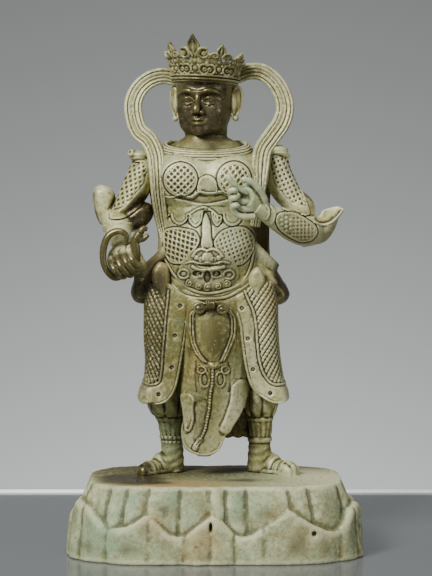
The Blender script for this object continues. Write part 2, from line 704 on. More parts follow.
def breast(r):
    """Two discs, the tab between them, the wavy lip and the bands of the belt."""
    left, right = (-34, 298.1), (18.8, 298.9)
    for (x, z), lean in ((left, 1.0), (right, 0.6)):
        face = lambda U, V: lattice(U + lean * V, U - V, 6.6, 6.6, 1.3)
        r.line(ring(x, z, 17.6), 1.1, -0.7, True)
        r.plate(ring(x, z, 16.6), 1.3, 0.8, face, 2.0)
        r.line(ring(x, z, 15.2), 0.7, -0.5, True)
    tab = [(-17.2, 285.7), (-17, 293.6), (-14.8, 299), (-7.9, 302.5), (-0.5, 299), (2, 293.6),
           (2.2, 285.7)]
    r.line(tab, 1.2, -0.8)
    r.plate(tab, 0.9, 1.0)
    lip = [(-56.3, 281.7), (-51.3, 280.7), (-42.5, 279.8), (-34, 282.7), (-23.2, 280.2), (-16, 285),
           (-7.9, 284.1), (0.8, 284.4), (5.9, 285.7), (15.8, 281.2), (26.7, 280.7), (36.6, 282.7)]
    r.plate(lip + [(36.6, 274.2), (-56.3, 274.2)], -1.2, 1.2)
    r.line(lip, 1.7, 1.5)
    r.plate([(-56.3, 273.8), (-9.9, 274.2), (36.6, 273.8), (36.6, 267.9), (-9.9, 267.3), (-56.3, 267.9)],
            0.9, 1.0)
    r.line([(-56.3, 271.5), (-9.9, 271.9), (36.6, 271.5)], 0.6, -0.5)


def lappets(r):
    """Half discs that hang under the belt, the straight blade and the belt's knot."""
    for u, v, deep in ((-55.2, -44.4, 257.1), (-44.0, -26.2, 253.4), (-26.6, -11.8, 251.5),
                       (-3.4, 7.9, 252.2), (7.9, 27.1, 252.2)):
        tongue = [(u, 270), (u, 263), (u + 1.5, deep + 4.5), ((u + v) / 2, deep), (v - 1.5, deep + 4.5),
                  (v, 263), (v, 270)]
        r.line(tongue[1:6], 1.6, -0.9)
        r.plate(tongue, 0.7, 0.8)
        inner = [((x - (u + v) / 2) * 0.72 + (u + v) / 2, z * 0.8 + 53.6) for x, z in tongue[1:6]]
        r.line(inner, 0.7, -0.5)
    blade = [(-8.9, 265.1), (-11.8, 259.2), (-12.6, 254.6), (-12.6, 243.4), (-13, 231.9), (-2.9, 231.9),
             (-3.9, 243.4), (-4.6, 254.6), (-5.9, 259.2)]
    r.line(blade, 2.0, -0.8, True)
    r.plate(blade, 1.7, 0.8)
    r.line([(-8.6, 261.1), (-8.4, 234.5)], 0.6, 0.4)
    for run, (x, z) in (([(-11.8, 270.9), (-18.7, 268.5), (-24.2, 265)], (-26.1, 262.2)),
                        ([(-9.9, 270.9), (-2.9, 267.5), (2, 263.2)], (4.4, 260.5))):
        r.line(run, 1.1, 1.3)
        r.line(ring(x, z, 2.1), 1.0, 1.2, True)
    r.dots([(-12.5, 270.7), (-9.3, 270.1)], 2.2, 1.6)


PANEL_LEFT = [
    (-51.2, 246.4), (-51.7, 235.6), (-49.2, 221.8), (-42.3, 215.4), (-33.5, 215.4), (-25.6, 220.8),
    (-20.2, 228.7), (-15.3, 238.6), (-18.7, 246.4), (-30.5, 249.9), (-42.3, 250.4),
]
PANEL_RIGHT = [
    (38.9, 240.5), (35.5, 222.8), (25.6, 213.9), (13.8, 216.4), (6.4, 224.8), (-1, 235.6), (4.9, 245.9),
    (16.8, 250.9), (30.6, 249.9),
]


def belly(r):
    """Two panels of pitted rows, the beast's mask between their feet, and the rim's cords."""
    left = lambda U, V: lattice(V + 0.32 * U, U - 0.10 * V, 5.0, 4.4, 1.4)
    right = lambda U, V: lattice(V - 0.4 * U, U + 0.3 * V, 4.6, 4.4, 1.0, 0.55)
    for points, face, rim in ((PANEL_LEFT, left, 0.8), (PANEL_RIGHT, right, 0.4)):
        r.line(points, 1.8, -0.9, True)
        r.plate(points, 1.0, 1.0, face, 1.6)
        r.line(points, 0.8, rim, True)
    upper = [(-52.1, 222.9), (-45.8, 210.6), (-36.4, 198.7), (-23.1, 189.1), (-10, 185.5), (8.9, 188),
             (23.4, 193.9), (31.5, 202.2), (36.4, 215), (38.9, 229.8)]
    lower = [(-48.2, 200.3), (-41.3, 192.4), (-31.5, 183.5), (-21.9, 180.8), (-5.9, 180), (11.5, 182),
             (25.6, 189.4), (33, 194.4), (38.4, 203.2)]
    for run, radius, high in ((upper, 1.5, 1.6), (lower, 1.6, 1.8)):
        r.line(run, radius + 1.2, -0.7)
        r.line(run, radius, high)


def mask(r):
    """A beast's face in low relief: brows, snout, curled lips over dark hollows, and its ruff of curls."""
    r.plate([(-34.4, 213.2), (-28.5, 223), (-22.6, 228.4), (-7.8, 231.9), (6.9, 228.4), (13.8, 223),
             (21.6, 213.2), (22.6, 199.4), (10.8, 192.5), (-7.8, 190.6), (-25.5, 192.5), (-36.4, 199.4)],
            1.2, 3.0)
    brow_left = [(-21.9, 223), (-18.7, 227.9), (-13.8, 230.3), (-7.8, 228.5)]
    brow_right = [(-7.8, 228.5), (-1.9, 230.3), (3.9, 227.9), (7.4, 223)]
    lip = [(-21.9, 212.2), (-15.9, 209.2), (-6.4, 209.2), (2, 210.7), (8.9, 212.2)]
    cheeks = [(-28.5, 216.1), (-22.1, 217.6), (-15.7, 215.6), (-7.4, 216.6), (1, 215.6), (7.4, 217.6),
              (13.8, 216.1)]
    for run, radius, high in ((brow_left, 1.5, 1.3), (brow_right, 1.5, 1.3), (lip, 1.7, 1.6),
                              (cheeks, 1.1, 1.2)):
        r.line(run, radius, high)
    r.dots([(-7.3, 221.6)], 6.0, 2.6)
    r.dots([(-13.3, 219.9), (-1.3, 219.9)], 3.0, 1.4)
    r.dots([(-18.3, 221.4), (3.8, 221.4)], 2.5, 1.4)
    r.line([(-15.9, 214.5), (-7.4, 213.2), (1.5, 214.5)], 1.3, -1.4)
    for x, z, rx, rz in ((-17.7, 205.5, 4.6, 3.0), (-7.6, 202.3, 3.8, 6.2), (1.6, 205.5, 4.2, 3.0)):
        r.plate(ring(x, z, rx, rz), -1.3, 1.6)
    for x, z, hand in ((-15.9, 204.5, 1), (0.8, 204.9, -1)):
        r.curl(x, z, 2.2, 1.5, 1.0, 1.5, hand)
    for x, z in ((-31.2, 204.8), (13.8, 204.3)):
        r.line(ring(x, z, 5.2, 4.4), 1.2, 1.2, True)
        r.dots([(x, z)], 2.2, 0.9)
    for x, z, hand in ((-25.5, 195.5, 1), (-15.9, 192.1, 1), (-7.5, 190.9, 1), (3, 192.3, -1),
                       (12.4, 194.7, -1)):
        r.dots([(x, z)], 4.0, 0.5)
        r.curl(x, z, 3.4, 0.9, 1.3, 2.0, hand)


def trunk():
    for name, near, far, cell in (("trunk", -56, 11, 0.66), ("trunk_back", 10, 62, 1.15)):
        field = Field((-74, near, 166), (68, far, 353), cell)
        field.add(stack(TORSO, 2.2))
        field.add(ball((-7, 0, 232), (48, 43, 46)), 9)
        field.add(ball((-34, -8, 300), (24, 22, 22)), 12)
        field.add(ball((18, -8, 300), (24, 22, 22)), 12)
        X, Y, Z = field.whole()
        field.d += 0.45 * noise(X, Y, Z, 13.0, 1)
        if near < 0:
            r = Relief(field)
            for lay in (breast, belly, lappets, mask):
                lay(r)
            r.press(-8, 8)
        else:
            folds = np.cos(FULL_TURN * (X + 4 * np.sin(Z / 24)) / 11) * step_up(Y, 22, 34)
            field.d -= 0.9 * folds * step_up(Z, 172, 190) * (1 - step_up(Z, 310, 324))
            for level in (271, 281):
                field.d -= 1.6 * np.clip(1 - ((Z - level) / 3.0) ** 2, 0, 1)
        collar(field)
        piece(name, field)


# The head, in its own frame: its middle at the origin, facing -y

HEAD = np.array([-10.0, 8.0, 374.0])
HEAD_TURN = math.radians(-15)


def on_head(points):
    c, s = math.cos(HEAD_TURN), math.sin(HEAD_TURN)
    return np.stack([points[:, 0] * c - points[:, 1] * s, points[:, 0] * s + points[:, 1] * c,
                     points[:, 2]], 1) + HEAD


def head():
    field = Field((-44, -46, -52), (44, 44, 46), 0.62)
    # the skull with its jaw, then the neck
    field.add(stack([(-32, 0, -11, 7, 8, 8), (-29, 0, -8, 14, 15.5, 12), (-22, 0, -2, 20.5, 23, 20),
                     (-12, 0, 0, 25, 26, 27), (0, 0, 0, 27.6, 27.6, 31), (12, 0, 0, 28.4, 28.6, 33),
                     (24, 0, 1, 28, 28.5, 33), (34, 0, 2, 23, 23, 27), (42, 0, 2, 11, 11, 13)], 2.15))
    field.add(stack([(-52, 0, 6, 23, 20, 24), (-42, 0, 5, 21.5, 17.5, 22), (-30, 0, 3, 21.5, 17, 21),
                     (-18, 0, 2, 22, 16, 22)], 2.1), 5)
    mirrored = lambda x, y, z: [(side * x, y, z) for side in (-1, 1)]
    # cheeks, the sides of the jaw, the chin and the mound of the mouth
    for p in mirrored(15, -17.5, -8):
        field.add(ball(p, (8.5, 8, 9)), 6)
    for p in mirrored(15, -9, -20):
        field.add(ball(p, (8.5, 10, 8.5)), 6)
    field.add(ball((0, -22.5, -26.5), (8, 6.2, 5.6)), 5)
    field.add(ball((0, -22.5, -17.5), (10.5, 6.4, 6.5)), 4)
    # eyes in shallow sockets
    for p in mirrored(11.5, -31.5, 3.2):
        field.carve(ball(p, (8.2, 7.6, 5.0)), 4)
    for p in mirrored(11.2, -23.4, 1.8):
        field.add(ball(p, (6.4, 4.7, 4.2)), 0.8)

    def both(points, rows, reach, blend, **more):
        for side in (-1, 1):
            sweep(field, [(side * x, y, z) for x, y, z in points], tapered(rows), reach, blend, step=0.8,
                  **more)

    # upper lids, lower lids and brows
    both([(4.6, -25.6, 0.6), (7.6, -28.0, 3.6), (11.4, -28.7, 4.9), (15.4, -26.8, 4.0),
          (18.6, -22.6, 1.2)], [(0, 0.8, 0.8), (0.5, 1.25, 1.1), (1, 0.7, 0.8)], 3, 0.9)
    both([(4.8, -25.6, 0.4), (8.2, -27.2, -1.0), (11.4, -27.6, -1.7), (15.2, -25.8, -1.0),
          (18.2, -22.8, 0.8)], [(0, 0.7, 0.7), (0.5, 0.95, 0.9), (1, 0.6, 0.7)], 3, 0.7)
    both([(3.6, -28.9, 9.9), (8, -29.4, 11.5), (13.5, -27.9, 11.9), (19, -23.6, 10.0),
          (23.4, -18.0, 6.6)], [(0, 1.9, 1.6), (0.5, 2.2, 2.0), (1, 1.0, 1.2)], 5, 2.4)
    # the nose, its wings and nostrils
    sweep(field, [(0, -27.4, 10), (0, -28.8, 4), (0, -31.4, -2), (0, -34.0, -7), (0, -34.6, -9.6)],
          tapered([(0, 3.2, 2.2), (0.45, 2.9, 2.6), (0.8, 4.0, 3.4), (1, 3.6, 2.6)]), 7, 2.2, step=0.8)
    for p in mirrored(4.7, -29.6, -9.6):
        field.add(ball(p, (3.1, 3.6, 2.7)), 1.0)
    for p in mirrored(2.5, -32.2, -12.0):
        field.carve(ball(p, (1.3, 2.0, 1.0)), 0.5)
    # soft folds beside the mouth, the upper lip and the lower lip
    both([(5.2, -27.2, -13.4), (8.2, -25.0, -16.2)], [(0, 0.6, 0.6), (1, 0.3, 0.3)], 2, 2.0)
    both([(0.2, -29.8, -17.0), (2.8, -29.9, -16.2), (6.2, -27.6, -17.2), (9.2, -24.6, -18.2)],
         [(0, 1.3, 1.2), (0.5, 1.25, 1.1), (1, 0.4, 0.4)], 3, 0.8)
    both([(0, -29.2, -20.8), (3.4, -28.9, -20.7), (6.6, -26.6, -19.9), (9.0, -24.4, -18.8)],
         [(0, 1.7, 1.5), (0.5, 1.5, 1.3), (1, 0.4, 0.4)], 3, 0.9)

    # long ears that stand out from the head: a curled rim round a hollow, a fold, and a round knob below
    for side in (-1, 1):
        at = lambda out, up: (side * (26.5 + 0.86 * out), -1 + 0.52 * out, up + 1)
        field.add(ball(at(4, 0), (3.4, 4.6, 13)), 1.5)
        field.add(ball(at(6.5, 2), (4.0, 3.0, 12)), 1.0)
        rim = [at(u, v) for u, v in ((0, -6), (1.5, 3), (4, 11), (7, 14.6), (10.4, 12), (11.4, 5),
                (10.4, -3), (8, -9), (6, -14), (3, -16), (1.5, -12))]
        sweep(field, rim, tapered([(0, 1.2, 1.2), (0.3, 2.0, 1.9), (0.6, 1.9, 1.8), (1, 1.3, 1.3)]), 4,
              0.4, step=1.0)
        sweep(field, [at(u, v) for u, v in ((5, 9), (7.6, 5.5), (7.2, 0), (5, -6))],
              tapered([(0, 0.8, 0.8), (0.5, 1.3, 1.2), (1, 0.9, 0.9)]), 3, 0.4, step=1.0)
        field.carve(ball(at(3.6, -1), (1.8, 3.4, 5.0)), 0.6)
        field.add(ball(at(5.6, -16.4), (3.0, 3.2, 3.2)), 0.3)

    # hair drawn up under the crown, in strands; and a line of it along the brow
    def strands(X, Y, Z):
        turn = np.arctan2(X, -(Y - 1))
        back = step_up(Y, 8, 13) * step_up(Z, -24, -16)
        brow = step_up(Z, 17.0, 19.0) * (Y < 6)
        lines = np.abs(np.sin(turn * 30 + 2.0 * np.sin(Z / 9.0)))
        return (back + 0.7 * brow) * (0.5 + 0.8 * lines) * (1 - step_up(np.abs(X) + 0 * Y, 29.5, 30.5))
    field.raise_by((-32, -34, -26), (32, 40, 44), strands)
    # three soft lines round the throat
    for z in (-33.5, -38.5, -43.5):
        line = lambda X, Y, Z: -0.7 * np.clip(1 - ((Z - z - 0.10 * np.abs(X)) / 0.9) ** 2, 0, 1)
        field.raise_by((-26, -26, z - 2), (26, 32, z + 2), line)
    piece("head", field, place=on_head)


# The crown, laid out flat by the way round it and the height over its rim

CROWN_RIM = 22.0
CROWN_REACH = 33.0
PANEL = FULL_TURN / 9
TIP_HIGH = 44.0
BAND_HIGH = 19.0
STRETCH = 1.10  # the crown is this much deeper than wide
SHRINK = 1.81  # the less, the lower the leaves get towards the back


def crown():
    field = Field((-52, -54, 8), (52, 56, 72), 0.6)
    X, Y, Z = field.whole()
    turn = np.arctan2(X, -(Y - 1) / STRETCH)
    rim = CROWN_RIM + 1.5 * np.cos(turn) - 1.5 * np.sin(turn)
    up = Z - rim
    half = hermite([-6, 0, 4, 16, 23, 44], np.array([30.0, 31.4, 31.6, 34.4, 37.2, 43.5]), up)[..., 0]
    wall = np.hypot(X, (Y - 1) / STRETCH) - half
    near = np.nonzero(np.abs(wall) < 6)
    wall, turn, up = wall[near], (turn + 0 * Z)[near], up[near]
    slot = np.round(turn / PANEL)
    way = (turn - slot * PANEL) * CROWN_REACH
    both = np.abs(way)
    scale = (SHRINK - np.sin(np.abs(slot) * PANEL / 2)) / SHRINK
    leaf = (up - BAND_HIGH) / (scale * TIP_HIGH - BAND_HIGH) * (TIP_HIGH - BAND_HIGH)
    high = np.where(up > BAND_HIGH, BAND_HIGH + leaf, up)

    # what stands over the band: a bud-shaped spear, a ring curl on each side of it, a small curl outward
    spear = smooth([(-2.0, 17), (-2.4, 23), (-5.4, 29), (-4.6, 35), (-2.2, 39), (0, TIP_HIGH), (2.2, 39),
                    (4.6, 35), (5.4, 29), (2.4, 23), (2.0, 17)], 2.5, True)
    away = outline(spear, np.where(slot == 0, way, way * 1.25), high)
    reach = np.where(slot == 0, 8.2, 5.6)
    big = (both - reach, high - 25.0)
    small = (both - 11.4, high - 23.5)
    flat = np.maximum(up - BAND_HIGH - 1.4 * np.cos(way / 11.5 * math.pi * 3), -(up + 3.0))
    flat = smin(flat, away, 0.6)
    flat = smin(flat, np.hypot(*big) - np.where(slot == 0, 6.3, 4.6), 0.5)
    flat = smin(flat, np.hypot(*small) - 3.2, 0.5)

    # relief on the outside
    relief = np.zeros(flat.shape, np.float32)

    def ridge(distance, width, height):
        nonlocal relief
        relief = np.maximum(relief, height * np.sqrt(np.clip(1 - (distance / width) ** 2, 0, 1)))
    for level in (0.3, 3.4):
        ridge(up - level, 1.2, 2.4)
    for (a, b), radius, high_by in ((big, np.where(slot == 0, 4.6, 3.2), 2.2), (small, 2.2, 1.4),
                                    ((both - 8.6, up - 9.4), 4.6, 1.8)):
        ridge(np.hypot(a, b) - radius, 1.25, high_by)
        ridge(np.hypot(a - 0.6, b + 0.4) - radius * 0.30, 0.9, high_by * 0.8)
    ridge(np.abs(away) - 0.9, 1.0, 1.6 * (high > 21))
    ridge(way, 0.9, 1.1 * (high > 24))
    for centre, level, radius in ((0, 16.4, 1.9), (2.9, 13.2, 1.3), (0, 9.8, 2.4), (2.8, 6.4, 1.1),
                                  (11.4, 15.4, 1.6)):
        ridge(np.hypot(both - centre, up - level), radius, 1.5)
    relief = relief * step_up(-flat, -0.2, 0.4)
    shell = np.abs(wall - relief * 0.5) - 1.3 - relief * 0.5
    field.d[near] = smax(shell, flat, 0.6)

    # the topknot in the crown's bowl, its hair in twisted locks, bound by a cord
    def locks(X, Y, Z):
        twist = np.abs(np.sin(np.arctan2(X, Y - 2) * 6 + Z / 6))
        return ball((0, 4, 38), (12, 13, 12)).distance(X, Y, Z) - 0.8 * twist
    field.add(Form((-14, -11, 26), (14, 19, 52), locks), 0.5)
    field.add(ball((0, 1, 22), (30, 33, 12)), 1.0)
    loop = [(12 * math.sin(a), 4 - 13 * math.cos(a), 34) for a in turns(16)]
    sweep(field, loop, cord(1.8, 0.5, 3.2), 4, 0.4, step=1.0, closed=True, facing=(0, 0, 1))
    piece("crown", field, place=on_head)


# The scarf: a loop out from each side of the head, and its ends down the breast and the back

SCARVES = [  # the middle line of each: x, y, z
    [
        (-40, 14, 399), (-52, 14, 401), (-64, 13, 398), (-76, 12, 388), (-82, 10, 373), (-81, 8, 360),
        (-76, 4, 346), (-66, -1, 337), (-60, -8, 325), (-57.6, -17, 306), (-56.6, -19, 286),
        (-54.6, -16, 268), (-52, -11, 252), (-49, -12, 236),
    ],
    [
        (20, 12, 400), (34, 13, 405.5), (46, 13, 405), (59, 12, 396), (67.5, 11, 382), (70, 9, 368),
        (67, 7, 356), (57, 2, 341), (48, -6, 328), (45, -16, 310), (44.4, -21, 290), (43, -18, 270),
        (40, -9, 252),
    ],
]
WIDTHS = [  # share of the length, half width, half thickness
    [(0, 7, 2.2), (0.3, 8.2, 2.2), (0.58, 7.6, 2.2), (0.7, 6.6, 2.0), (0.86, 5.6, 1.8), (1, 4.4, 1.4)],
    [(0, 7, 2.2), (0.3, 8.2, 2.2), (0.6, 8.2, 2.2), (0.7, 8.0, 2.0), (0.82, 5.0, 1.8), (1, 4.6, 1.4)],
]
BACK_ENDS = [
    [
        (44, 20, 322), (49, 24, 310), (48, 32, 290), (47, 36, 272), (46.5, 38, 246), (47, 38, 222),
        (50, 36, 204),
    ],
    [(-60, 20, 322), (-62, 25, 310), (-58, 36, 290), (-56, 38, 272), (-50, 42, 246), (-48, 40, 222)],
]


def cloth(rows):
    """Cloth with rolled hems and long folds that run its whole length."""
    rows = np.array(rows, float)

    def section(u, v, s, t):
        half, thick = hermite(rows[:, 0], rows[:, 1:], t).T
        share = u / half
        folds = np.cos(share * FULL_TURN * 2.1 + 0.5) + 0.5 * np.cos(share * FULL_TURN * 3.7 + s / 60)
        w = v - 1.0 * np.cos(share * 1.4) + 0.5
        qx, qy = np.abs(u) - half + 1.3, np.abs(w - folds * 0.35) - (thick + 0.5 * folds) + 1.3
        d = np.hypot(np.maximum(qx, 0), np.maximum(qy, 0)) + np.minimum(np.maximum(qx, qy), 0) - 1.3
        return smin(d, np.hypot(np.abs(u) - half + 1.0, w + 0.2) - 1.0 - thick * 0.45, 0.5)
    return section


def scarves():
    field = Field((-94, -30, 196), (84, 52, 418), 0.8)
    for points, widths in zip(SCARVES, WIDTHS):
        sweep(field, points, cloth(widths), 11, 0.8)
    for points in BACK_ENDS:
        sweep(field, points, cloth([(0, 8, 2), (1, 8, 2)]), 11, 0.8, facing=(0, 1, 0))
    # each loop is gathered in a knot behind the ear
    for x, z in ((-39, 398), (19, 399)):
        field.add(ball((x, 15, z), (5, 5.5, 6.5)), 1.5)
    piece("scarf", field)


# Arms: mail sleeves with plain borders, cuffs thrown back like horns, a bracer. Outlines are x and z

SLEEVE_RIGHT = [
    (-84, 313), (-78, 319), (-70, 320), (-62, 314), (-62, 298), (-65, 284), (-71, 274.5), (-80, 265),
    (-92, 259), (-105, 259.5), (-103, 267), (-97.5, 281), (-93.5, 292), (-89, 302),
]
SLEEVE_LEFT = [
    (52, 329), (66, 329), (72.5, 320), (76.0, 307.5), (82.5, 294), (88.0, 283), (95, 265), (85, 263.5),
    (72, 267.4), (61.5, 276), (55.6, 284), (51.6, 294), (50, 312),
]
HORN_RIGHT = [
    (-120.9, 289.6), (-114.7, 292.2), (-107.9, 290.8), (-102.9, 286.5), (-100.5, 280.5), (-102.4, 270.4),
    (-103.3, 262.3), (-107.9, 254.6), (-114.7, 251.6), (-119.9, 259.8), (-122.4, 271.4), (-123.5, 282.3),
]
HORN_LEFT = [
    (95.6, 254.5), (103.6, 257.9), (108.4, 266.1), (116.1, 269.2), (125.3, 270.2), (129.2, 267.6),
    (124.6, 258.4), (119.9, 246), (113.7, 238.4), (99.1, 232.5), (88.5, 229.3), (83.5, 242.4),
]
LIP_LEFT = [(129.4, 268), (122.2, 259.2), (116.1, 254.5), (108.4, 252.3), (99.1, 255.5)]
BRACER = [
    (60.1, 258.7), (62.1, 264), (70.4, 266), (81.8, 263.8), (91.7, 258.1), (100, 251.2), (101.7, 244.8),
    (96.2, 237.8), (85.6, 236), (78, 239), (70.4, 243.6), (63.5, 249.7),
]


MAIL_RIGHT = [
    (-86.9, 314), (-69.4, 314), (-68.4, 305), (-71.4, 293.6), (-78.9, 284.6), (-86.5, 275.3),
    (-94.1, 269.7), (-101.9, 267.7), (-99.9, 279.1), (-93.9, 297),
]
BORDER_RIGHT = [
    (-90.9, 317), (-66.9, 317), (-64.4, 301), (-64.9, 289.3), (-69.2, 278.6), (-77.9, 267.7),
    (-86.5, 261.2), (-96.3, 258.7), (-104.9, 259.7), (-102.9, 268.1), (-98.9, 283.1),
]
MAIL_LEFT = [
    (57, 319), (57, 305), (60.5, 292.6), (67.3, 285), (74, 277.3), (82, 273.4), (91, 272), (86, 287),
    (77, 307), (73, 320),
]
BORDER_LEFT = [
    (51, 321), (51.6, 294.1), (55.6, 283.4), (61, 275.7), (71, 267), (83, 263.4), (94, 262), (91, 277),
    (82, 301), (75, 323),
]


def sleeves(r):
    """Pitted mail within plain borders, each with a thin edge."""
    right = lambda U, V: lattice(0.9 * U + 0.1 * V, 0.35 * U - 0.9 * V, 4.4, 4.2, 1.0, 0.5)
    left = lambda U, V: lattice(0.91 * U + 0.41 * V, 0.41 * U - 0.91 * V, 4.4, 4.8, 1.0, 0.5)
    for border, hem, mail, edge, face in (
            (BORDER_RIGHT, BORDER_RIGHT[1:9], MAIL_RIGHT, MAIL_RIGHT[2:8], right),
            (BORDER_LEFT, BORDER_LEFT[:7], MAIL_LEFT, MAIL_LEFT[:7], left)):
        r.line(hem, 1.4, -1.0)
        r.plate(border, 0.9, 1.0)
        r.plate(mail, 0.7, 0.8, face, 0.2)
        r.line(edge, 0.8, -0.5)


def bracer(r):
    """An oval guard on the left forearm: a cluster of small discs at its wrist end, fine dots beyond."""
    middle_x, middle_z = 69, 255.2

    def face(U, V):
        away = np.hypot(U - middle_x, V - middle_z)
        cell = np.hypot((U + 1.0) % 4.6 - 2.3,
                        (V + 0.6 * (np.floor((U + 1.0) / 4.6) % 2) * 4 + 1) % 4.6 - 2.3)
        discs = 0.9 * np.clip(1 - (cell / 2.2) ** 2, 0, 1) - 0.5
        dots = lattice(U, V, 3.8, 3.8, 0.7)
        near = step_up(9.5 - away, 0, 1.5)
        return discs * near + dots * (1 - near)
    r.line(BRACER, 1.7, -0.9, True)
    r.plate(BRACER, 1.0, 1.0, face, 1.6)
    r.line(BRACER, 0.8, 0.8, True)
    r.line([(49.8, 274.4), (52.7, 269.9), (53.1, 265), (50.8, 259.6)], 1.2, 1.3)
    r.line([(55.4, 272.3), (59, 265.8), (58.4, 259.9), (55.4, 254.5)], 0.9, 0.8)
    r.line(LIP_LEFT, 1.0, 1.0)


def arms():
    field = Field((-128, -54, 224), (134, 54, 336), 0.78)
    field.add(pillow(SLEEVE_RIGHT, 14, 21, 15))
    field.add(ball((-84, 18, 262), (17, 17, 18)), 4)
    field.add(ball((-75, 12, 322), (10.5, 13, 6.4)), 1.5)
    field.add(ball((-83.5, 8, 323.5), (4.0, 7, 4.2)), 0.6)
    field.carve(ball((-80.5, -4, 314.6), (7.0, 9, 1.2)), 0.5)
    field.carve(ball((-86.0, 2, 325.5), (2.2, 6, 2.0)), 0.5)
    field.add(pillow(SLEEVE_LEFT, 13, 17, 17))
    field.add(ball((86, 17, 266), (15, 17, 18)), 6)
    sweep(field, [(52, 0, 326), (60, 0, 327.5), (67, 2, 326), (71.5, 8, 321)], cord(3.2), 5, 1.0)
    field.add(ball((63, 11, 327), (10.5, 13, 5.4)), 1.5)
    field.carve(ball((64, -6, 322.2), (9, 6, 0.9)), 0.5)

    # the forearms, the soft dark sleeve behind the right one, and the plain cuff band
    sweep(field, [(-100, 26, 262), (-99, 6, 256), (-96, -14, 248), (-94, -28, 240)],
          tapered([(0, 14, 13), (0.4, 14.5, 11.5), (0.8, 12.4, 10), (1, 10.5, 8.5)]), 17, 3,
          facing=(0, 0, 1))
    sweep(field, [(103, 20, 246), (88, -4, 246.5), (68, -25, 256), (40, -45, 272)],
          tapered([(0, 15, 14), (0.35, 17, 15), (0.75, 12.0, 11.0), (1, 8, 7)]), 19, 3, facing=(0, 0, 1))
    field.add(pillow([(-90, 268), (-64, 272), (-62, 262), (-68, 252), (-78, 246), (-90, 247), (-96, 256)],
                     9, 13, 10), 2)
    band = [(-97 + 13.6 * math.cos(a), -9 + 11.5 * math.sin(a),
             250.5 + 1.4 * math.cos(a + 0.5)) for a in turns(20)]
    sweep(field, band, tapered([(0, 3.6, 1.8), (1, 3.6, 1.8)]), 6, 0.6, closed=True,
          facing=lambda line: (line - [-97, -9, 250]) * [1, 1, 0] / 12)

    # the cuffs thrown back: hollow horns, the right one's mouth upward, the left one's a leaf to the viewer
    field.add(pillow(HORN_RIGHT, 8, 15, 20), 2.5)
    field.carve(ball((-108.5, 24, 296), (7.4, 9, 17)), 1.0)
    field.add(pillow(HORN_LEFT, 9, 15, 14), 3)
    mouth = smooth(LIP_LEFT + [(101.6, 262.5), (107.7, 270.6), (117.7, 274.6), (128.8, 274.6),
                               (135.8, 270.6)], 1.5, True)

    def scoop(X, Y, Z):
        return smax(outline(mouth, X, Z) + 0 * Y, Y - 18 + 0.15 * np.abs(X - 118) + 0 * Z, 1.5)
    field.carve(Form((94, -4, 252), (136, 19, 284), scoop), 0.6)

    r = Relief(field)
    sleeves(r)
    bracer(r)
    r.press(12, 24)
    piece("arms", field)


def finger(field, points, radius, blend=0.5):
    """A finger with soft swellings at its joints and a rounded tip."""
    points = np.array(points, float)
    length = lengths(points)

    def section(u, v, s, t):
        r = radius * (1 - 0.16 * t)
        for joint in length[1:-1]:
            r = r + 0.08 * radius * np.exp(-((s - joint) / (0.55 * radius)) ** 2)
        tip = np.maximum(s - (length[-1] - radius * 0.8), 0)
        return np.hypot(u, v) - np.sqrt(np.maximum(r ** 2 - (tip * 0.95) ** 2, 0.3))
    sweep(field, points, section, radius + 3, blend, step=0.9)


# x and z of the right fist's knuckles, and of where its fingers fold in under them
KNUCKLES = [(-102.2, 217.7), (-96.5, 222), (-90.5, 225.2), (-84.7, 226.7)]
FOLDS = [(-93.4, 200.4), (-86.5, 202), (-80.6, 205.3), (-74.9, 209.6)]
SNAKE = [  # x and z from the tail's tip to the neck
    (-87.4, 237.4), (-87, 243.3), (-91.4, 247.3), (-97.8, 247.3), (-104.3, 243.3), (-108.5, 234.9),
    (-110.1, 224.1), (-109, 214.6), (-104.8, 206.3), (-98.6, 201.4), (-89.9, 203.6), (-81.9, 210.7),
    (-77.2, 221.1), (-78.1, 231.8), (-78.9, 238.5), (-75.5, 242.5),
]
SNAKE_DEPTHS = [-43, -43, -42, -41, -41, -41, -41, -41, -39, -33, -27, -30, -40, -43, -43, -44]


def hands():
    field = Field((-122, -68, 192), (62, -6, 314), 0.6)
    # right: a fist round the snake, its knuckles and fingers slanting down
    field.add(ball((-92, -27, 220), (15, 10, 14)), 1)
    field.add(ball((-94, -20, 238), (11.5, 9, 9)), 4)
    for (kx, kz), (fx, fz) in zip(KNUCKLES, FOLDS):
        middle = ((kx + fx) / 2 - 0.6, -44.5, (kz + fz) / 2 + 0.6)
        finger(field, [(kx + 1, -29, kz + 4), (kx, -37, kz), middle, (fx, -41, fz + 4),
                       (fx + 3.5, -31, fz + 3), (fx + 3, -22, fz + 9)], 3.9, 0.35)
    finger(field, [(-82, -24, 232), (-75.5, -31, 222), (-72.5, -37, 215), (-76, -42, 209.5)], 4.4, 0.8)
    # left: raised and cupped, the palm to the viewer
    field.add(ball((34, -47, 281), (13.5, 6.5, 14.5)), 1)
    field.carve(ball((28, -56, 281), (8, 6.5, 9)), 2.5)
    field.add(ball((43, -42, 272), (8.5, 7.5, 9)), 4)
    for n in range(3):
        z = 284 - 7.3 * n
        finger(field, [(36 + n, -47, z - 7), (27 + n, -50, z - 7), (17.5 + n, -52, z - 3),
                       (15 + 1.5 * n, -57, z + 3.5), (22 + n, -60, z + 4.5)], 3.6, 0.6)
    finger(field, [(36, -47, 284), (27, -50, 288), (19, -54, 294), (14.5, -56, 299), (12.5, -56, 303.5)],
           3.1, 0.7)
    finger(field, [(50, -42, 268), (48, -48, 280), (42.5, -53, 290), (34, -56, 297), (25.5, -57, 299.5)],
           3.6, 1.2)
    field.add(ball((22, -56, 283), (3.2, 3, 3)), 0.5)
    piece("hands", field)


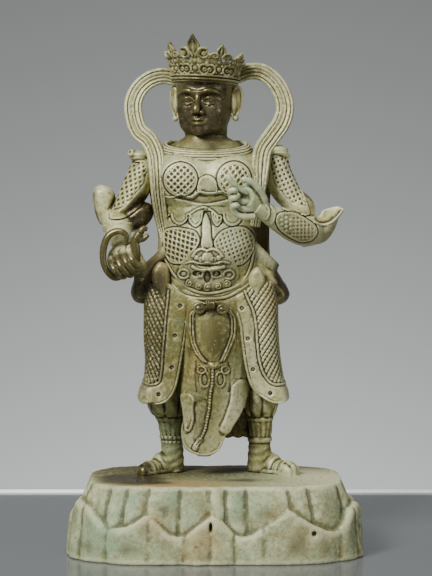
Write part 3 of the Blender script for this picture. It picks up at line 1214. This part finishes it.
def snake():
    """One open coil, its tail hooked over the wrist, and a reared head with its jaws apart."""
    field = Field((-120, -54, 196), (-60, -18, 256), 0.6)
    path = [(x, y, z) for (x, z), y in zip(SNAKE, SNAKE_DEPTHS)]
    body = [(0, 2.0, 2.0), (0.05, 2.7, 2.7), (0.5, 3.2, 3.2), (0.8, 3.5, 3.5), (0.9, 4.7, 4.2),
            (1, 4.2, 4.0)]
    sweep(field, path, tapered(body), 7, 0.3, step=1.0)
    up, down = (-67.1, 250.4), (-65.7, 243.7)
    root = path[-1]
    sweep(field, [(root[0] - 2, -44, root[2] - 2), (root[0] + 2, -44.5, root[2] + 4),
                  (up[0] - 2.5, -44.5, up[1]), (up[0], -44.5, up[1] - 0.6)],
          tapered([(0, 4.2, 4.2), (0.5, 3.8, 3.4), (1, 2.4, 2.0)]), 6, 0.5, step=0.8)
    sweep(field, [(root[0] - 1, -44, root[2] - 3), (root[0] + 5, -44, root[2] - 2.4),
                  (down[0], -44, down[1])], tapered([(0, 3.8, 3.4), (0.5, 2.8, 2.4), (1, 1.9, 1.8)]), 5,
          0.5, step=0.8)
    field.add(ball((root[0] + 2.6, -48.0, root[2] + 5), (1.6, 1.2, 1.6)), 0.3)
    piece("snake", field, bare={"rub": 1.2, "dark": 0.55})


# The hanging armour over the thighs: mail outside, a plain riveted border inside

TASSETS = {  # for each side: z, middle, half width
    -1: [
        (196, -41, 26), (178, -42.5, 28.5), (160, -45, 26.5), (141, -47.3, 24.3), (111, -48.8, 21.8),
        (96, -51.2, 21.3), (85, -56.5, 20.5), (75, -60.5, 18),
    ],
    1: [
        (196, 34, 25.5), (178, 36, 27), (160, 38.5, 25), (141, 41, 23), (111, 45.5, 21.5),
        (96, 49.5, 20.5), (85, 56, 18), (75, 61, 15),
    ],
}
# how deep the tassets stand round the thighs
THIGH = {"y": 14, "front": 40, "back": 30}
HEMS = {
    -1: [
        (-18.8, 186.4), (-24.4, 174.8), (-27.3, 156.3), (-29.8, 137.8), (-33.3, 117), (-36.1, 102.1),
        (-39.8, 88.5), (-48.1, 76.7), (-60.9, 73.6), (-77.5, 78.6), (-80, 90), (-76, 97), (-76, 130),
        (-80, 160), (-84, 210), (-20, 210),
    ],
    1: [
        (10.9, 186.4), (15.6, 174.8), (19.6, 168.6), (24.2, 153.9), (26.1, 137.8), (28.6, 119.4),
        (32.2, 102.1), (37.8, 88.5), (46.4, 81.1), (60.7, 75.4), (73.8, 78.9), (77, 90), (72, 97),
        (73, 130), (76, 160), (80, 210), (11, 210),
    ],
}
MAIL_EDGES = {
    -1: [
        (-46.3, 188.1), (-46.8, 179.4), (-48.6, 164.6), (-50.4, 143.6), (-52.3, 123.8), (-53.6, 106.7),
        (-56.4, 96.1), (-64.5, 93.7), (-73.5, 94.7),
    ],
    1: [
        (28.8, 190.1), (32.3, 180.7), (37.8, 168.3), (40.9, 152.3), (42.2, 133.8), (44.7, 116.6),
        (49, 104.1), (56.4, 95.4), (67.5, 93.9),
    ],
}
RIVETS = {
    -1: [(-34.4, 173), (-39.8, 143.3), (-43, 111.3), (-56.2, 84.3)],
    1: [(26.7, 170.5), (32.6, 140.3), (37.8, 109.4), (55, 85.5)],
}
LEAVES = {
    -1: [
        (-63.4, 201.4), (-60.8, 211.3), (-55, 216.7), (-48, 214.2), (-45.1, 203.3), (-46.5, 189.5),
        (-50.1, 179.2), (-56.4, 186.5),
    ],
    1: [
        (33.3, 199.4), (36.7, 208.3), (42, 211.5), (47.5, 206.3), (49.9, 197.4), (45.6, 187.5),
        (41.2, 179.6), (36.1, 188.5),
    ],
}


def rim_height(X):
    """The height of the belly's lower rim, where the skirts begin."""
    return 177.0 + 0.0102 * (X + 3) ** 2


def tasset(side, name):
    low, high = ((-90, -38, 66), (-14, 60, 220)) if side < 0 else ((4, -38, 66), (86, 60, 220))
    field = Field(low, high, 0.8)
    rows = []
    for z, middle, half in TASSETS[side]:
        flare = max(96 - z, 0) * 0.25
        front = THIGH["front"] - max(141 - z, 0) * 0.10 + flare
        rows.append((z, middle, THIGH["y"], half, front, THIGH["back"] + flare))
    X, Y, Z = field.whole()
    solid = stack(rows, 3.6, 3).distance(X, Y, Z)
    # the plate hangs free at its foot, hollow from below, and ends under the belly's rim
    hem = outline(smooth(HEMS[side], 2, True), X, Z)
    plate = smax(solid, hem + 0 * solid, 1.0)
    plate = smax(plate, Z - rim_height(X) + 0.35 * np.maximum(Y + 16, 0), 1.2)
    field.d = smax(plate, -smax(solid + 3.0, Z - 100, 3), 1.0).astype(np.float32)

    centre = read_off(rows, Z)
    turn = 27 * np.arctan2((X - centre) * 1.5, -(Y - THIGH["y"]))
    if side < 0:
        mail = woven(0.87 * turn + 0.49 * Z, 0.49 * turn - 0.87 * Z, 3.8, 4.2, 2.0)
    else:
        mail = woven(0.80 * turn - 0.60 * Z, 0.60 * turn + 0.80 * Z, 3.9, 3.9, 1.5)
    *edge, (_, foot) = MAIL_EDGES[side]
    mail_line = smooth(MAIL_EDGES[side] + [(side * 140, foot), (side * 140, 230)], closed=True)
    inside = step_up(-outline(mail_line, X, Z), 0.4, 1.2)
    field.d -= (inside * (mail + 0.5)).astype(np.float32)

    r = Relief(field)
    edge += [(side * 70, foot), (side * 78, foot + 1)]
    r.line(edge, 2.6, -1.0)
    r.line(edge, 1.2, 2.1)
    for inward, radius, high in ((1.2, 1.1, 0.7), (2.4, 0.8, -0.5)):
        inner = [(x + side * inward, z + (inward * 2 / 3 if z < 85 else 0)) for x, z in HEMS[side][1:11]]
        r.line(inner, radius, high)
    for spot in RIVETS[side]:
        r.dots([spot], 2.3, -2.2)
        r.dots([spot], 1.2, 1.2)
    r.press(6, 30)

    # the pointed ribbon end that lies over the top
    field.add(pillow(LEAVES[side], 5.5, 5.0, -22), 0.3)
    x, z = np.mean(LEAVES[side], 0)

    def vein(X, Y, Z):
        return np.hypot(X - x - side * 1.5, (Y + 29.4) * 1.2) - 1.1 + 0.02 * np.abs(Z - z) ** 1.2
    field.carve(Form((x - 9, -40, z - 16), (x + 9, -10, z + 16), vein), 0.6)
    piece(name, field)


# The hips: the skirt, the scarf's swag round the back, a lobe of cloth on each hip, the robe behind

# level sections: z, cx, cy, half width, front, back
SKIRT = [
    (205, -4, 15, 56, 41, 42), (196, -4, 15, 60, 42, 44), (176, -4, 15, 60, 40, 45),
    (141, -3, 16, 56, 36, 46), (110, -2, 18, 52, 30, 46), (84, -2, 22, 48, 24, 44),
    (66, -2, 27, 44, 16, 40),
]
SWAG = [
    (228, -6, 16, 49, 34, 38), (214, -5, 16, 62, 36, 46), (200, -4, 16, 70, 38, 54),
    (184, -4, 16, 74, 38, 60), (174, -4, 16, 70, 36, 57),
]
ROBE = [(120, -2, 34, 50, 8, 26), (84, -1, 38, 47, 8, 24), (56, 1, 42, 45, 7, 21), (33, 3, 45, 43, 6, 19)]
LOBES = {
    -1: [
        (-52, 227), (-62, 221), (-70, 214), (-78, 205), (-82.5, 194), (-85, 183), (-83.6, 178),
        (-72.5, 172), (-64, 176), (-58, 190), (-50, 204), (-46, 216),
    ],
    1: [
        (35, 231), (43, 225), (51, 218), (59, 209), (66, 199), (73.6, 188), (75.5, 181), (72, 175),
        (64.6, 171), (57, 174), (47, 187), (37, 205), (31, 219),
    ],
}

HIP_CLOTH = [(31, 234), (41, 227), (49, 219), (53, 207), (47, 195), (35, 197), (29, 215)]


def hips():
    field = Field((-92, -36, 28), (86, 84, 236), 1.1)
    field.add(stack(SKIRT, 2.3, 3))
    robe = stack(ROBE, 2.6, 2)
    cut, X, Y, Z = field.window(robe.low, robe.high)
    pleats = 1.7 * np.abs(np.sin((X + 3 * np.sin(Z / 30)) * math.pi / 10.5))
    field.d[cut] = smin(field.d[cut], robe.distance(X, Y, Z) - pleats + 1.0, 3)
    # pleats down the back of the skirt
    field.raise_by((-60, 26, 66), (56, 70, 182),
                   lambda X, Y, Z: step_up(Y, 26, 36) * 1.5
                   * np.cos((X + 3 * np.sin(Z / 30)) * FULL_TURN / 10.5))
    # the swag: a deep roll round the back, its folds hanging between the hips
    swag = stack(SWAG, 2.6, 4)
    cut, X, Y, Z = field.window(swag.low, swag.high)
    sag = Z + 0.010 * (X + 4) ** 2
    folds = (1.5 * np.cos(sag * FULL_TURN / 9.5) + 0.6 * np.sin(X / 7.0 + sag / 5)) * step_up(Y, 16, 30)
    roll = smax(swag.distance(X, Y, Z) - 0.9 * folds, 8 - Y + 0.25 * np.abs(X), 4)
    roll = smax(roll, (Z - 226) + 0 * roll, 3)
    field.d[cut] = smin(field.d[cut], roll, 2)
    # a lobe of bunched cloth on each hip, and the roll of cloth that leads down to it from the waist
    for side, points in LOBES.items():
        form = pillow(points, 9, 20, 14)
        cut, X, Y, Z = field.window(form.low, form.high)
        round_it = np.hypot(X - side * 62, (Z - 178) * 0.8) + 0.4 * (Y - 14)
        field.d[cut] = smin(field.d[cut],
                            form.distance(X, Y, Z) - 0.25 * np.cos(round_it * FULL_TURN / 8), 1.5)
    for points in ([(-47, -14, 230), (-55, -16, 222), (-62, -12, 214), (-70, -6, 206), (-76, 4, 200)],
                   [(38, -4, 232), (46, -4, 224), (54, 1, 216), (60, 8, 210)]):
        sweep(field, points, cord(5.0, 0.4, 5.0), 8, 6)
    field.add(pillow(HIP_CLOTH, 8, 16, 8), 4)
    piece("hips_and_robe", field)


# The apron between the thighs: an oval panel within a doubled cord, two bows, and rolled side folds

# the apron's edges as z and x, and its face as z and y
APRON_LEFT = [
    (196, -30), (141, -34), (104, -36), (84, -34), (60, -31.5), (48, -34), (38, -33.5), (31, -32),
    (25, -27), (21, -18), (16, -18),
]
APRON_RIGHT = [
    (196, 24), (141, 29), (104, 32), (84, 31), (66, 25), (50, 14.5), (40, 9.5), (30, 6), (24, 1),
    (20, -5), (16, -5),
]
APRON_FACE = [(196, -36), (160, -37), (116, -34), (80, -26), (50, -16), (18, -8)]
CORDS = [
    [
        (-9.4, 171.5), (-15.8, 170.5), (-21.1, 165.6), (-21.9, 156.7), (-21.9, 147.8), (-20, 135.3),
        (-15.2, 125.5), (-8.5, 117.7),
    ],
    [
        (6.9, 170.5), (12.4, 168.5), (16.2, 161.6), (17.2, 152.8), (16.6, 143.9), (12.8, 133.1),
        (6.3, 118.7),
    ],
]


def bow(field, x, z, loops, thick, stripes):
    """A knot between two loops: each loop is an oval ring round a hollow."""
    y = field.front(x, z)
    for dx, dz, rx, rz in loops:
        ring_line = [(x + dx + rx * math.cos(a), y - 1.2, z + dz + rz * math.sin(a)) for a in turns(14)]
        sweep(field, ring_line, cord(thick), 5, 0.3, step=0.9, closed=True)
        field.add(ball((x + dx, y - 1.2, z + dz), (rx * 0.85, 2.6, rz * 0.62)), 0.3)
    for k in range(stripes):
        out = x + 2.3 * (k - (stripes - 1) / 2)
        sweep(field, [(out - 0.6, y, z + 5), (out, y - 3.2, z + 2), (out, y - 3.2, z - 2),
                      (out - 0.6, y, z - 5)], cord(1.25), 4, 0.2, step=0.9)


def apron_relief(r):
    """Cords, the beaded middle line, side folds and thin edges."""
    panel = CORDS[0] + CORDS[1][::-1]
    r.plate(panel, 0.6, 9.0, lambda U, V: 1.4 - 0.004 * ((U + 2.6) ** 2 + (V - 146) ** 2), 0)
    for run in CORDS:
        r.line(run, 3.4, -1.0)
        r.line(run, 1.1, 1.9)
        r.line([(x + (2.6 if run is CORDS[1] else -2.6), z) for x, z in run[1:]], 1.1, 1.9)
    # the lower bow's thin loops and the two engraved ovals under it
    for x, z, rx, rz in ((-13.4, 109.6, 4.0, 3.6), (10.5, 109.4, 3.8, 3.6)):
        r.line(ring(x, z, rx, rz), 0.9, 1.2, True)
    for x, z in ((-10.3, 99.9), (5.3, 99.9)):
        r.line(ring(x, z, 4.6, 7.8), 0.9, 0.9, True)
        r.line(ring(x, z, 2.6, 5.4), 0.6, -0.6, True)
    r.dots([(-3.4, 113.8), (2.6, 113.8), (-0.5, 112.8)], 2.6, 1.3)
    r.line([(-2.2, 110.8), (-2.4, 101.9), (-3, 92)], 1.3, 1.2, beaded=True)
    # soft folds from the knot down the cloth
    for run, radius, high in (([(-28.7, 148.7), (-30.2, 128.9), (-30.7, 104.1)], 3.2, -0.9),
                              ([(22.8, 148.7), (23.3, 126.9), (20.8, 101.1)], 3.2, -0.9),
                              ([(-18.8, 117.2), (-19.8, 101.3), (-18.4, 87.5)], 1.6, -0.7),
                              ([(12.9, 117.2), (15.3, 101.3), (13.9, 87.5)], 1.6, -0.7)):
        r.line(run, radius, high)
    # the pale fold and its hook at the left, the long roll at the right, the brown channel between
    r.plate([(-34.8, 82.6), (-26.8, 84.6), (-20.2, 78.6), (-20.2, 66.7), (-21.3, 56.8), (-24.8, 47.8),
             (-29.8, 44.8), (-30.8, 54.8), (-33.2, 66.7)], 1.6, 3.0)
    r.line([(-22.1, 78.4), (-21.5, 64.5), (-22.9, 54.5), (-26.9, 46.6), (-30, 49), (-28.8, 52.1)], 1.3,
           1.0)
    r.plate([(20.9, 95.7), (26.8, 98.1), (33.2, 94.7), (33.4, 81.8), (28.8, 67.9), (22.8, 55),
             (17.5, 45.1), (10.9, 43.1), (5.8, 46.7), (9.9, 60), (14.9, 74.9)], 3.2, 4.0)
    r.plate([(-19.5, 76.4), (-9.3, 80.4), (-8.4, 66.5), (-9.9, 54.5), (-12.9, 42.6), (-16.9, 30.6),
             (-20.9, 34.6), (-19.5, 50.5)], -1.8, 4.0)
    r.line([(-4, 90.5), (-5, 80.6), (-5.6, 70.7), (-7.9, 59.7), (-10.3, 47.8), (-14.9, 37.9)], 1.4, 1.7,
           beaded=True)
    r.line([(-14.9, 37.6), (-17.9, 32.6), (-19.9, 28.7)], 3.0, 2.2)
    for run in ([(-16.5, 35), (-20.3, 29.6)], [(-14.5, 34), (-17.9, 28.3)]):
        r.line(run, 0.5, -0.9)
    r.line([(-32.9, 40.2), (-30.2, 31.2), (-20.2, 23.9), (-10.4, 22), (2, 26.2), (8.3, 37.5),
            (10.7, 42.2)], 1.0, 0.7)


def apron():
    field = Field((-46, -52, 14), (42, 34, 198), 0.74)
    X, Y, Z = field.whole()
    left, right, face = (read_off(rows, Z) for rows in (APRON_LEFT, APRON_RIGHT, APRON_FACE))
    front = face + 0.020 * (X + 3) ** 2 * step_up(Z, 40, 110)
    front = front + 0.006 * (X + 8) ** 2 * step_up(110 - Z, 0, 60)
    slab_of_cloth = np.maximum(front - Y, Y - front - 6.0)
    ends = np.maximum(19.6 + 0.016 * (X + 11) ** 2 - Z, Z - rim_height(X))
    sides = np.maximum(np.maximum(left - X, X - right), ends)
    field.d = smax(slab_of_cloth, sides + 0 * slab_of_cloth, 2.0).astype(np.float32)
    r = Relief(field)
    apron_relief(r)
    r.press(-10, 8)
    x, z = -4.5, 175.1
    bow(field, x, z, ((-10.8, -3.4, 5.0, 4.2), (12.0, -4.4, 4.4, 3.8)), 1.7, 4)
    piece("apron", field)


# Legs and boots: trousers gathered over the gaiters, rings round the legs, boots turned out

LEGS = {  # for each side, level sections: z, cx, cy, half width, front, back
    -1: [
        (92, -49, 22, 17, 19, 18), (84, -49.5, 22, 17.4, 20, 18), (72, -49.5, 22, 17.6, 20.5, 18.5),
        (63, -48.8, 23, 16.6, 19, 18), (57.5, -46.6, 24, 14.4, 15.5, 15.5),
        (54, -45.4, 24, 13.8, 14, 14), (42, -44.6, 26, 12, 12.5, 13), (34, -44.2, 27, 11, 12, 12),
        (22, -43.4, 28, 11.2, 12, 13), (0, -43, 30, 11.6, 13, 14),
    ],
    1: [
        (92, 47, 22, 15, 19, 18), (84, 47.5, 22, 15.4, 20, 18), (72, 47.5, 22, 15.4, 20, 18),
        (64, 47, 23, 14.6, 18, 17), (58.5, 46.2, 24, 13, 14.5, 15), (54, 46, 24, 12.4, 13.5, 13.5),
        (42, 46, 26, 11.6, 12.5, 13), (34, 45.6, 27, 11, 12, 12), (22, 45.2, 28, 11.4, 12, 13),
        (0, 44.5, 30, 11.8, 13, 14),
    ],
}
RINGS = {  # height, half thickness and how far each stands out
    -1: [(54.6, 1.8, 0.8), (35.6, 1.9, 1.5), (31, 1.6, 1.2)],
    1: [(54.6, 2.0, 1.1), (33.0, 2.6, 1.7)],
}
GATHERS = {-1: 0.27, 1: -0.08}  # how far round the puckers of each trouser leg are turned
BOOTS = {-1: ((-40, 42), (-72, 7)), 1: ((40, 42), (77, 7))}  # heel and toe
BOOT_SHAPE = np.array([  # share of the length, half width, height
    (0, 8.5, 13), (0.15, 11, 19), (0.36, 11.5, 21), (0.56, 11, 18), (0.74, 9.0, 12), (0.88, 9.4, 12),
    (1.0, 7.6, 10),
])


def legs():
    field = Field((-88, -10, -1.5), (94, 66, 98), 0.9)
    for side, rows in LEGS.items():
        body = stack(rows, 2.2)
        cut, X, Y, Z = field.window(body.low, body.high)
        turn = np.arctan2(X - rows[5][1], -(Y - 24))
        puff = step_up(Z, 56.5, 59)
        shaft = (1 - puff) * step_up(Z, 36, 38)
        gather = 3.4 * np.abs(np.sin(4 * (turn + GATHERS[side]))) ** 0.7 - 1.6
        gather = gather + 0.5 * np.cos(9 * turn + 0.35 * Z)
        d = body.distance(X, Y, Z) - puff * gather
        d = d - shaft * (0.35 * np.cos(13 * turn + 0.06 * Z) + 0.25 * np.cos(5 * turn - 0.2 * Z))
        slouch = step_up(28 - Z, 0, 3) * 0.45 * np.cos((Z + 5 * np.cos(turn + 0.6)) * FULL_TURN / 9)
        d = d - slouch
        for z, half, high in RINGS[side]:
            beads = 1 if side > 0 or z > 50 else 0.55 + 0.45 * np.cos(13 * turn)
            d = d - high * beads * np.sqrt(np.clip(1 - ((Z - z) / half) ** 2, 0, 1))
        field.d[cut] = smin(field.d[cut], d, 0.5)

        (hx, hy), (tx, ty) = BOOTS[side]
        length = math.hypot(tx - hx, ty - hy)
        ax, ay = (tx - hx) / length, (ty - hy) / length
        cut, X, Y, Z = field.window((min(hx, tx) - 16, ty - 16, 0), (max(hx, tx) + 16, hy + 16, 30), 3)
        s, w = (X - hx) * ax + (Y - hy) * ay, (X - hx) * ay - (Y - hy) * ax
        half, high = np.moveaxis(hermite(BOOT_SHAPE[:, 0], BOOT_SHAPE[:, 1:],
                                         np.clip(s / length, 0, 1)), -1, 0)
        over = np.maximum(s - length, 0) + np.maximum(-s, 0)
        f = np.hypot(np.hypot(w / half, over / 6.0), np.maximum(Z - 2.5, 0) / (high - 2.5))
        boot = np.maximum((f - 1) * np.minimum(half, high) * 0.9, -Z)
        # a seam curves down each side behind the toes; three knuckles of cloth cross the toe
        seam = np.abs(s - length * 0.66 + 0.02 * w * w) / 1.4
        boot = boot + 0.9 * np.clip(1 - seam ** 2, 0, 1)
        knuckles = np.abs(np.sin((s - length * 0.66) * math.pi / 6.5))
        boot = boot - 0.8 * knuckles * step_up(s, length * 0.68, length * 0.74)
        boot = boot - 0.4 * np.cos(s / 2.2 + w / 3) * step_up(s, 6, 12) * step_up(length * 0.64 - s, 0, 4)
        toes = np.abs(np.sin(w * math.pi / 7.0 + 1.0)) * step_up(s, length * 0.84, length * 0.9)
        boot = boot - 1.4 * toes * (side > 0)
        field.d[cut] = smin(field.d[cut], boot, 2.0)
        sole = np.hypot(np.maximum(np.abs(w) - half * 0.96, 0), over) - 1.8
        field.d[cut] = smin(field.d[cut], smax(sole, np.abs(Z - 1.6) - 1.6, 0.8), 0.4)
    piece("legs", field)


# The plinth: soft lumps hang over a lower tier of upward petals

TOP_HALF_WIDE, TOP_HALF_DEEP = 125.0, 76.0
SQUARENESS = 3.6
SIDE_FLARE, FRONT_FLARE = 23.5, 11.0
PETALS = 10
LIP_HIGH, LIP_LOW = 53.0, 30.0
TIP_HEIGHTS = [3, -5, -4, 2, 0, -3, 1, -2, 0, -3]  # each petal's own, over LIP_HIGH
AROUND = 650.0  # the whole way round, in the units of the places below, from the front's middle
LIP_SWELLS = [(-110, 20, 14), (-68, 14, -6), (122, 18, 9)]  # place, width and height
LUMP_EDGES = [-148, -124, -97, -80, -60, -32, -6, 9, 28, 65, 84, 118, 136, 160, *range(176, 450, 26)]
EDGE_WIDTH = 4.2


def grooves(share):
    """Soft dips round the plinth at the uneven edges of the lumps."""
    way = (share * AROUND + 5 * AROUND) % AROUND
    nearest = np.full(way.shape, AROUND)
    for edge in LUMP_EDGES:
        gap = np.abs(way - edge % AROUND)
        nearest = np.minimum(nearest, np.minimum(gap, AROUND - gap))
    return np.exp(-nearest / EDGE_WIDTH)


def plinth():
    field = Field((-151, -92, -2), (151, 92, PLINTH_HIGH + 3), 1.45)
    X, Y, Z = field.whole()

    # the way round as a share of the edge's length, nought at the front's middle
    turn = np.linspace(-math.pi, math.pi, 721)
    bend = lambda v: np.sign(v) * np.abs(v) ** (2 / SQUARENESS)
    edge = np.stack([TOP_HALF_WIDE * bend(np.sin(turn)), -TOP_HALF_DEEP * bend(np.cos(turn))], 1)
    way = lengths(edge)
    share = np.interp(np.arctan2(X, -Y), np.arctan2(edge[:, 0], -edge[:, 1]), way / way[-1])
    share = share.astype(np.float32) - 0.5
    x, y = X / TOP_HALF_WIDE, Y / TOP_HALF_DEEP
    fade = np.hypot(x, y) + 1e-6
    flare = np.hypot(x / fade * SIDE_FLARE, y / fade * FRONT_FLARE)
    f = (np.abs(x) ** SQUARENESS + np.abs(y) ** SQUARENESS) ** (1 / SQUARENESS)
    away = np.hypot(X, Y) * (1 - 1 / np.maximum(f, 1e-3))

    # lower tier: its wavy lip rises to a blunt tip in the middle of each petal
    petal = share * PETALS + 0.10 * np.sin(share * FULL_TURN * 3 + 0.6)
    from_tip = np.abs(petal - np.round(petal)) * 2
    uneven = np.interp(petal, np.arange(-5, 6), TIP_HEIGHTS + [TIP_HEIGHTS[0]])
    lip = LIP_HIGH + uneven - (LIP_HIGH - LIP_LOW) * step_up(from_tip, -0.15, 1.0)
    lip = lip + 1.0 * np.sin(share * FULL_TURN * 23)
    for place, width, high in LIP_SWELLS:
        lip = lip + high * np.exp(-((share * AROUND - place) / width) ** 2)
    ribs = np.abs(np.sin(share * math.pi * 25 + 0.8 * np.sin(share * 31) + 0.7)) ** 0.6
    lower = flare - 3.0 * from_tip ** 2 + 2.4 * (ribs - 0.8) - 0.05 * np.maximum(Z - 16, 0) ** 1.25
    lower = lower + 0.7 * np.exp(-((Z - lip + 7) / 6) ** 2)
    tier_low = smax(away - lower, Z - lip + 0 * away, 5)

    # upper tier: soft lumps with shallow dips between them, drawn in under the top's edge
    down = np.clip((PLINTH_HIGH - Z) / (PLINTH_HIGH - lip + 6), 0, 1.3)
    upper = 0.58 * flare * down ** 1.05 - 4.2 * grooves(share) * np.clip(down * 4, 0, 1) ** 0.5
    upper = upper + 2.4 * np.sin(np.clip(down, 0, 1) * math.pi) - 4.6 * step_up(down, 0.80, 1.1)
    tier_up = away - upper
    d = smin(tier_low, tier_up, 2.0)

    # uneven casting and a worn top
    swell = 2.0 * noise(X, Y, Z, 24.0, 5) + 0.9 * noise(X, Y, Z, 9.0, 6) + 0.35 * noise(X, Y, Z, 3.6, 8)
    d = d - swell * 0.8
    top = PLINTH_HIGH - 0.5 - 0.25 * np.abs(swell)
    d = smax(d, Z - top, 1.4)
    d = smax(d, -Z + 0 * d, 0.6)
    field.d = d.astype(np.float32)
    # a slit, a round hole and a crack at the left corner
    field.carve(ball((-4, -84, 37), (1.6, 8, 5)), 1.0)
    field.carve(ball((97, -86, 30), (3.4, 12, 3.6)), 0.6)
    field.carve(ball((-128, -80, 20), (1.6, 9, 16)), 1.2)
    piece("plinth_casting", field, "plinth")


trunk()
head()
crown()
scarves()
arms()
hands()
snake()
tasset(-1, "tasset_right")
tasset(1, "tasset_left")
hips()
apron()
legs()
plinth()


# The stage: a grey table with its back edge in view, a plain backdrop and soft light from the upper left

def plain(name, colour, roughness, glow=0.0):
    material = bpy.data.materials.new(name)
    material.use_nodes = True
    shader = material.node_tree.nodes["Principled BSDF"]
    shader.inputs["Base Color"].default_value = colour
    shader.inputs["Roughness"].default_value = roughness
    shader.inputs["Emission Color"].default_value = colour
    shader.inputs["Emission Strength"].default_value = glow
    return material


def rectangle(name, half, near, far, material):
    """A flat piece of the stage between two level lines across the view, each given as y and z."""
    mesh = bpy.data.meshes.new(name)
    corners = [(-half, *near), (half, *near), (half, *far), (-half, *far)]
    mesh.from_pydata(corners, [], [(0, 1, 2, 3)])
    mesh.materials.append(material)
    made = placed(name, mesh)


def towards(place, aim):
    """The turn that points a lamp or a camera from its place at its aim."""
    return (mathutils.Vector(aim) - mathutils.Vector(place)).to_track_quat("-Z", "Y").to_euler()


def lamp(name, energy, place, aim, size):
    light = bpy.data.lights.new(name, "AREA")
    light.energy = energy
    light.size = size
    made = placed(name, light)
    made.location = place
    made.rotation_euler = towards(place, aim)


TABLE_BACK = 0.37
WALL_BACK = 4.4
TABLE_HALF, WALL_HALF, WALL_LOW, WALL_HIGH = 3, 5, -2, 4
EDGE_DEEP, EDGE_HIGH = 0.004, 0.003
FIGURE_MIDDLE = (0, 0, 0.28)


rectangle("floor", TABLE_HALF, (-TABLE_HALF, 0), (TABLE_BACK, 0),
          plain("floor_paint", paint(112, 116, 118), 0.12))
rectangle("floor_edge", TABLE_HALF, (TABLE_BACK, 0), (TABLE_BACK + EDGE_DEEP, EDGE_HIGH),
          plain("edge_paint", paint(240, 241, 242), 0.4, 0.45))
rectangle("backdrop", WALL_HALF, (WALL_BACK, WALL_LOW), (WALL_BACK, WALL_HIGH),
          plain("wall_paint", paint(127, 129, 129), 0.95))
lamp("key", 84, (-1.15, -1.75, 1.75), FIGURE_MIDDLE, 0.8)
lamp("fill", 9, (1.9, -1.4, 0.7), FIGURE_MIDDLE, 1.4)
lamp("top", 16, (0.1, 0.3, 2.2), FIGURE_MIDDLE, 1.2)
lamp("backdrop_glow", 170, (0, 3.2, -1.9), (0, WALL_BACK, -0.7), 2.0)

world = bpy.data.worlds.new("room")
world.use_nodes = True
background = world.node_tree.nodes["Background"]
background.inputs["Color"].default_value = (0.78, 0.80, 0.82, 1)
background.inputs["Strength"].default_value = 0.2
bpy.context.scene.world = world

# The camera: at the height of the figure's chin, 2.28 m off, looking down a little
EYE = (0.001, -2.28, 0.417)
AIM = (0.001, 0.0, 0.265)
SENSOR, LENS = 36, 142.5  # in millimetres
camera = placed("camera", bpy.data.cameras.new("camera"))
camera.location = EYE
camera.rotation_euler = towards(EYE, AIM)
camera.data.sensor_width = SENSOR
camera.data.lens = LENS
bpy.context.scene.camera = camera
